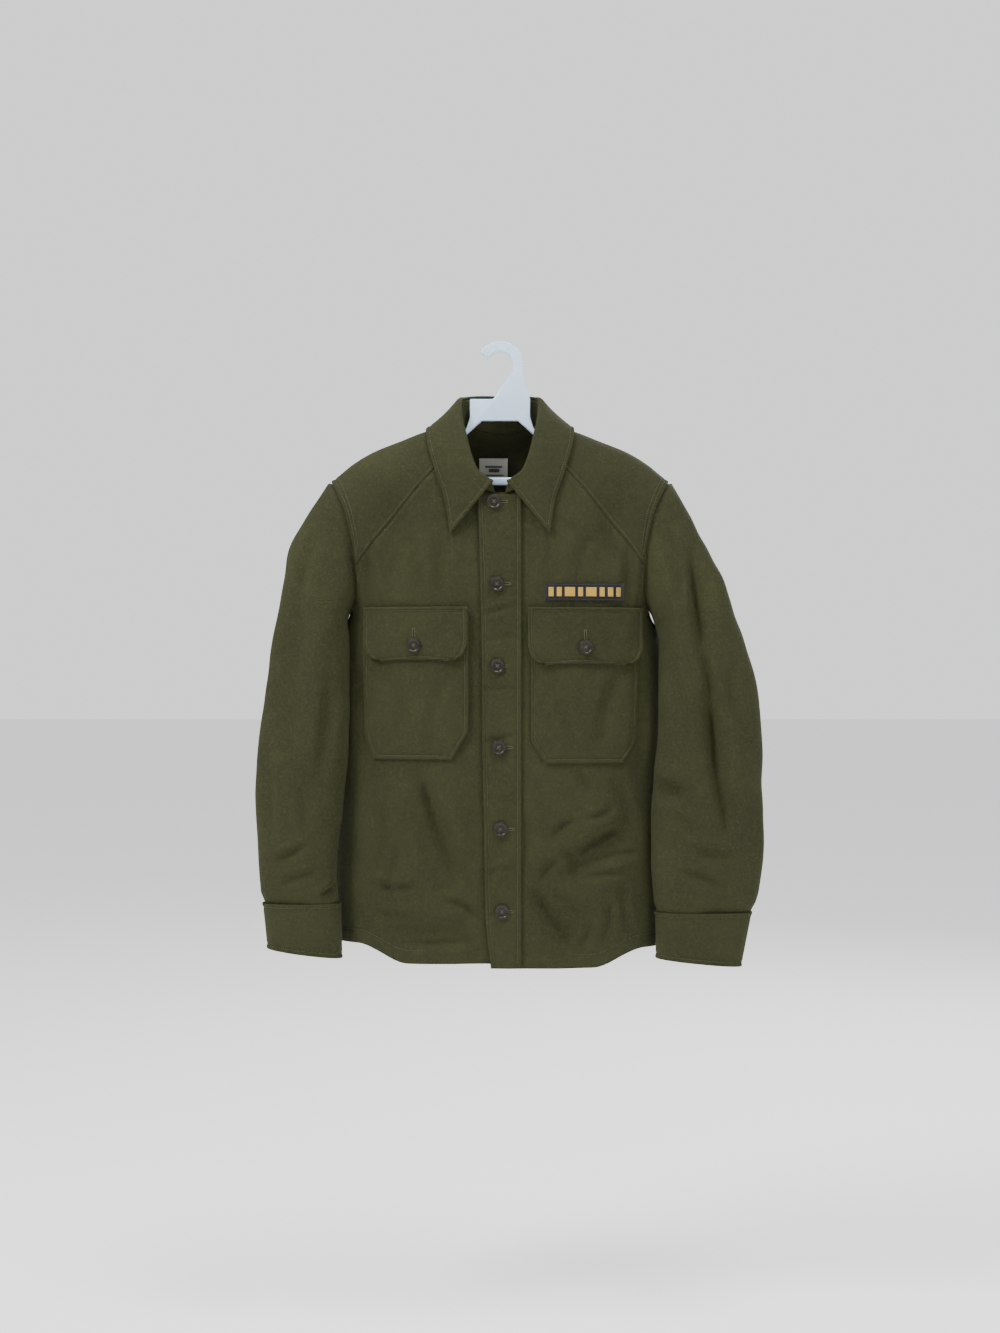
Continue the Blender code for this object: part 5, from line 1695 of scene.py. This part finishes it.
def pattern_thread():
    """Model the crossed thread through a button's holes."""
    strands = []
    for turn in (45, -45):
        bpy.ops.object.select_all(action="DESELECT")
        bpy.ops.mesh.primitive_uv_sphere_add(segments=10, ring_count=8, radius=1.0)
        strand = bpy.context.object
        strand.scale = (THREAD_REACH * MM, THREAD_RADIUS * 1.5 * MM, THREAD_RADIUS * 1.6 * MM)
        strand.rotation_euler[2] = math.radians(turn)
        strand.location[2] = (BUTTON_DEPTH - BUTTON_DISH + THREAD_RISE) * MM
        bpy.ops.object.transform_apply()
        strands.append(strand)
    only_selected(*strands)
    bpy.ops.object.join()
    bpy.ops.object.shade_smooth()
    return bpy.context.object


def pattern_buttonhole(length):
    """Model a worked buttonhole: a long loop of close stitches round a dark slit, whose darkness is
    painted shade.
    """
    bpy.ops.object.select_all(action="DESELECT")
    bpy.ops.mesh.primitive_torus_add(major_segments=48, minor_segments=8,
                                     major_radius=BUTTONHOLE_WIDTH / 2 * MM * BUTTONHOLE_ROUND,
                                     minor_radius=BUTTONHOLE_CORD * MM)
    loop = bpy.context.object
    reach = (length - BUTTONHOLE_WIDTH) / 2 * MM
    for vertex in loop.data.vertices:
        vertex.co.x += math.copysign(reach, vertex.co.x)
    bpy.ops.object.select_all(action="DESELECT")
    bpy.ops.mesh.primitive_uv_sphere_add(segments=16, ring_count=8, radius=1.0)
    slit = bpy.context.object
    slit.scale = (length * SLIT_SHARE * MM, SLIT_WIDTH * MM, SLIT_HEIGHT * MM)
    bpy.ops.object.transform_apply()
    only_selected(loop)
    bpy.ops.object.shade_smooth()
    return loop, slit


class FIELD_SHIRT_OT_buttons(ShirtOperator):
    """Turn the buttons, sew them on and work the buttonholes"""

    bl_idname = "field_shirt.buttons"
    bl_label = "Buttons and Buttonholes"

    def make(self):
        horn = finish_named("button", button_finish)
        yarn = wool_thread()
        # the slit finish is painted shade, a near-black colour for the shadow in each buttonhole
        gap = finish_named("gap", slit_shade_finish)
        button, thread = pattern_button(), pattern_thread()
        patterns = {"across": pattern_buttonhole(BUTTONHOLE_LENGTH),
                    "up": pattern_buttonhole(FLAP_BUTTONHOLE)}
        button.data.materials.append(horn)
        thread.data.materials.append(yarn)
        for loop, slit in patterns.values():
            loop.data.materials.append(yarn)
            # each slit gets the painted shade finish
            slit.data.materials.append(gap)
        seats = [(f"front_button_{number}", *seat_on_body(x, z, "front", BAND_LAYER), (0, 0, 1))
                 for number, (x, z) in enumerate(FRONT_BUTTONS, start=1)]
        seats += [(f"flap_button_{name}", *seat_on_body(*place, "front", 2 * LAYER), (0.2, 0, 1))
                  for name, place in FLAP_BUTTONS.items()]
        seats += [(f"cuff_button_{name}", *seat_on_cuff(cuff, side), (0, 0, 1))
                  for name, cuff, side in (("left", CUFF_LEFT, -1), ("right", CUFF_RIGHT, 1))]
        for name, place, facing, up in seats:
            matrix = seated(place + facing * BUTTON_SEAT, facing, up)
            placed_copy(button, name + "_turned", matrix, name)
            placed_copy(thread, name + "_thread", matrix, name)
        holes = [(f"buttonhole_{number}", "across", x + BUTTONHOLE_ASIDE, z, BAND_LAYER,
                  "button_band")
                 for number, (x, z) in enumerate(FRONT_BUTTONS, start=1)]
        holes += [(f"buttonhole_flap_{name}", "up", x, z + BUTTONHOLE_ABOVE, 2 * LAYER,
                   f"flap_{name}")
                  for name, (x, z) in FLAP_BUTTONS.items()]
        for name, kind, x, z, layer, node in holes:
            place, facing = seat_on_body(x, z, "front", layer)
            up = (0, 0, 1) if kind == "across" else (1, 0, 0)
            matrix = seated(place + facing * BUTTONHOLE_SEAT, facing, up)
            loop, slit = patterns[kind]
            placed_copy(loop, name, matrix, node)
            placed_copy(slit, name + "_slit", matrix, node)
        for pattern in (button, thread, *patterns["across"], *patterns["up"]):
            bpy.data.objects.remove(pattern)


class FIELD_SHIRT_OT_stitching(ShirtOperator):
    """Make every noted row of stitches, one mesh for each kind of thread"""

    bl_idname = "field_shirt.stitching"
    bl_label = "Stitching"

    def make(self):
        sizes = settings()
        finishes = {"wool": wool_thread(), "tape": finish_named(
            "tape thread", thread_finish, "black thread", BLACK_THREAD),
            "label": finish_named("label thread", thread_finish, "white thread",
                                  WHITE_THREAD)}
        bpy.ops.object.select_all(action="DESELECT")
        bpy.ops.mesh.primitive_uv_sphere_add(segments=4, ring_count=3, radius=1.0,
                                             rotation=(0, math.pi / 2, 0))
        pattern = bpy.context.object
        bpy.ops.object.transform_apply()
        shape = np.array([vertex.co for vertex in pattern.data.vertices])
        pattern_faces = [list(face.vertices) for face in pattern.data.polygons]
        bpy.data.objects.remove(pattern)
        nodes = {"wool": "yoke", "tape": "name_strip", "label": "neck_label"}
        for thread, rows in SEAMS.items():
            start, end, facing = [np.concatenate(part) for part in zip(*rows)]
            along = end - start
            facing = unit(facing)
            side = unit(np.cross(facing, along))
            half = sizes.stitch_width / MM / 2
            middle = (start + end) / 2 + facing * half * THREAD_SINK
            points = (middle[:, None] + shape[None, :, 0:1] * along[:, None] / 2
                      + shape[None, :, 1:2] * side[:, None] * half
                      + shape[None, :, 2:3] * facing[:, None] * half)
            faces = [[corner + stitch * len(shape) for corner in face]
                     for stitch in range(len(start)) for face in pattern_faces]
            made = piece_object(f"stitching_{thread}", points.reshape(-1, 3), faces,
                                nodes[thread], finishes[thread])
            made.data.shade_smooth()


class FIELD_SHIRT_OT_hanger(ShirtOperator):
    """Round the moulded edges of the hanger body, and smooth the shading of it and its bar"""

    bl_idname = "field_shirt.hanger"
    bl_label = "Hanger"

    def make(self):
        plastic = finish_named("hanger", hanger_finish)
        for node in ("hanger_body", "hanger_bar"):
            made = new_object(node + "_moulded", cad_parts[node].data.copy())
            made.data.materials.clear()
            made.data.materials.append(plastic)
            only_selected(made)
            bpy.ops.object.mode_set(mode="EDIT")
            bpy.ops.mesh.select_all(action="SELECT")
            bpy.ops.mesh.remove_doubles(threshold=0.00002)
            bpy.ops.mesh.dissolve_limited(angle_limit=math.radians(1.0))
            bpy.ops.object.mode_set(mode="OBJECT")
            if node == "hanger_body":
                edge = made.modifiers.new("Moulded", "BEVEL")
                edge.width, edge.segments = settings().hanger_rounding, 4
                edge.angle_limit = math.radians(50)
                bpy.ops.object.modifier_apply(modifier=edge.name)
            bpy.ops.object.shade_smooth_by_angle(angle=math.radians(40))
            settle(made, node)


class FIELD_SHIRT_OT_stage(ShirtOperator):
    """Set the pale floor, the soft lamps and the camera"""

    bl_idname = "field_shirt.stage"
    bl_label = "Stage"

    def make(self):
        sizes = settings()
        bpy.ops.object.select_all(action="DESELECT")
        bpy.ops.mesh.primitive_plane_add(size=FLOOR_SIZE, location=(0, 0, -sizes.floor_depth))
        floor = bpy.context.object
        floor.name = "floor"
        pale = Finish("pale floor", specular_ior_level=0.1, emission_strength=FLOOR_GLOW)
        pale.shader.inputs["Emission Color"].default_value = (1.0, 1.0, 1.0, 1.0)
        cloud = pale.noise(0.6)
        pale.colour(pale.mix(cloud, (0.9, 0.9, 0.89, 1.0), (0.92, 0.92, 0.91, 1.0)))
        pale.rough(pale.spread(cloud, 0.0, 1.0, 0.85, 0.95))
        floor.data.materials.append(pale.material)
        for name, place, size, power in LAMPS:
            lamp = bpy.data.lights.new(name, "AREA")
            lamp.shape, lamp.size, lamp.energy = "DISK", size, power
            made = new_object(name, lamp)
            made.location = place
            made.rotation_euler = (Vector(place) - Vector(AIM)).to_track_quat("Z", "Y").to_euler()
        world = bpy.context.scene.world or bpy.data.worlds.new("studio")
        bpy.context.scene.world = world
        world.use_nodes = True
        sky = world.node_tree.nodes["Background"]
        seen = world.node_tree.nodes.new("ShaderNodeBackground")
        for light, strength in ((sky, SKY_STRENGTH), (seen, BACKDROP_STRENGTH)):
            light.inputs["Color"].default_value = SKY_COLOUR
            light.inputs["Strength"].default_value = strength
        rays = world.node_tree.nodes.new("ShaderNodeLightPath")
        either = world.node_tree.nodes.new("ShaderNodeMixShader")
        links = world.node_tree.links
        links.new(rays.outputs["Is Camera Ray"], either.inputs[0])
        links.new(sky.outputs[0], either.inputs[1])
        links.new(seen.outputs[0], either.inputs[2])
        links.new(either.outputs[0], world.node_tree.nodes["World Output"].inputs[0])
        lens = bpy.data.cameras.new("camera")
        lens.lens, lens.sensor_width = sizes.lens, SENSOR_WIDTH
        camera = new_object("camera", lens)
        camera.location = (0.0, -sizes.camera_distance, AIM[2])
        camera.rotation_euler = (math.pi / 2, 0.0, 0.0)
        bpy.context.scene.camera = camera


STEPS = (FIELD_SHIRT_OT_fronts, FIELD_SHIRT_OT_back, FIELD_SHIRT_OT_yoke,
         FIELD_SHIRT_OT_sleeves, FIELD_SHIRT_OT_cuffs, FIELD_SHIRT_OT_collar,
         FIELD_SHIRT_OT_band, FIELD_SHIRT_OT_pockets, FIELD_SHIRT_OT_tape,
         FIELD_SHIRT_OT_label, FIELD_SHIRT_OT_buttons, FIELD_SHIRT_OT_stitching,
         FIELD_SHIRT_OT_hanger, FIELD_SHIRT_OT_stage)


class VIEW3D_PT_field_shirt(bpy.types.Panel):
    """Lists the shirt's sizes and its pieces"""

    bl_label = "Field Shirt"
    bl_space_type = "VIEW_3D"
    bl_region_type = "UI"
    bl_category = "Shirt"

    def draw(self, context):
        for name in FieldShirtSettings.__annotations__:
            self.layout.prop(context.scene.field_shirt, name)
        for step in STEPS:
            self.layout.operator(step.bl_idname)


CLASSES = (FieldShirtSettings, *STEPS, VIEW3D_PT_field_shirt)


def register():
    for each in CLASSES:
        bpy.utils.register_class(each)
    bpy.types.Scene.field_shirt = PointerProperty(type=FieldShirtSettings)


def unregister():
    del bpy.types.Scene.field_shirt
    for each in reversed(CLASSES):
        bpy.utils.unregister_class(each)


def main():
    """Build every piece in order."""
    register()
    bpy.ops.field_shirt.fronts()
    bpy.ops.field_shirt.back()
    bpy.ops.field_shirt.yoke()
    bpy.ops.field_shirt.sleeves()
    bpy.ops.field_shirt.cuffs()
    bpy.ops.field_shirt.collar()
    bpy.ops.field_shirt.band()
    bpy.ops.field_shirt.pockets()
    bpy.ops.field_shirt.tape()
    bpy.ops.field_shirt.label()
    bpy.ops.field_shirt.buttons()
    bpy.ops.field_shirt.stitching()
    bpy.ops.field_shirt.hanger()
    bpy.ops.field_shirt.stage()


if __name__ == "__main__":
    main()
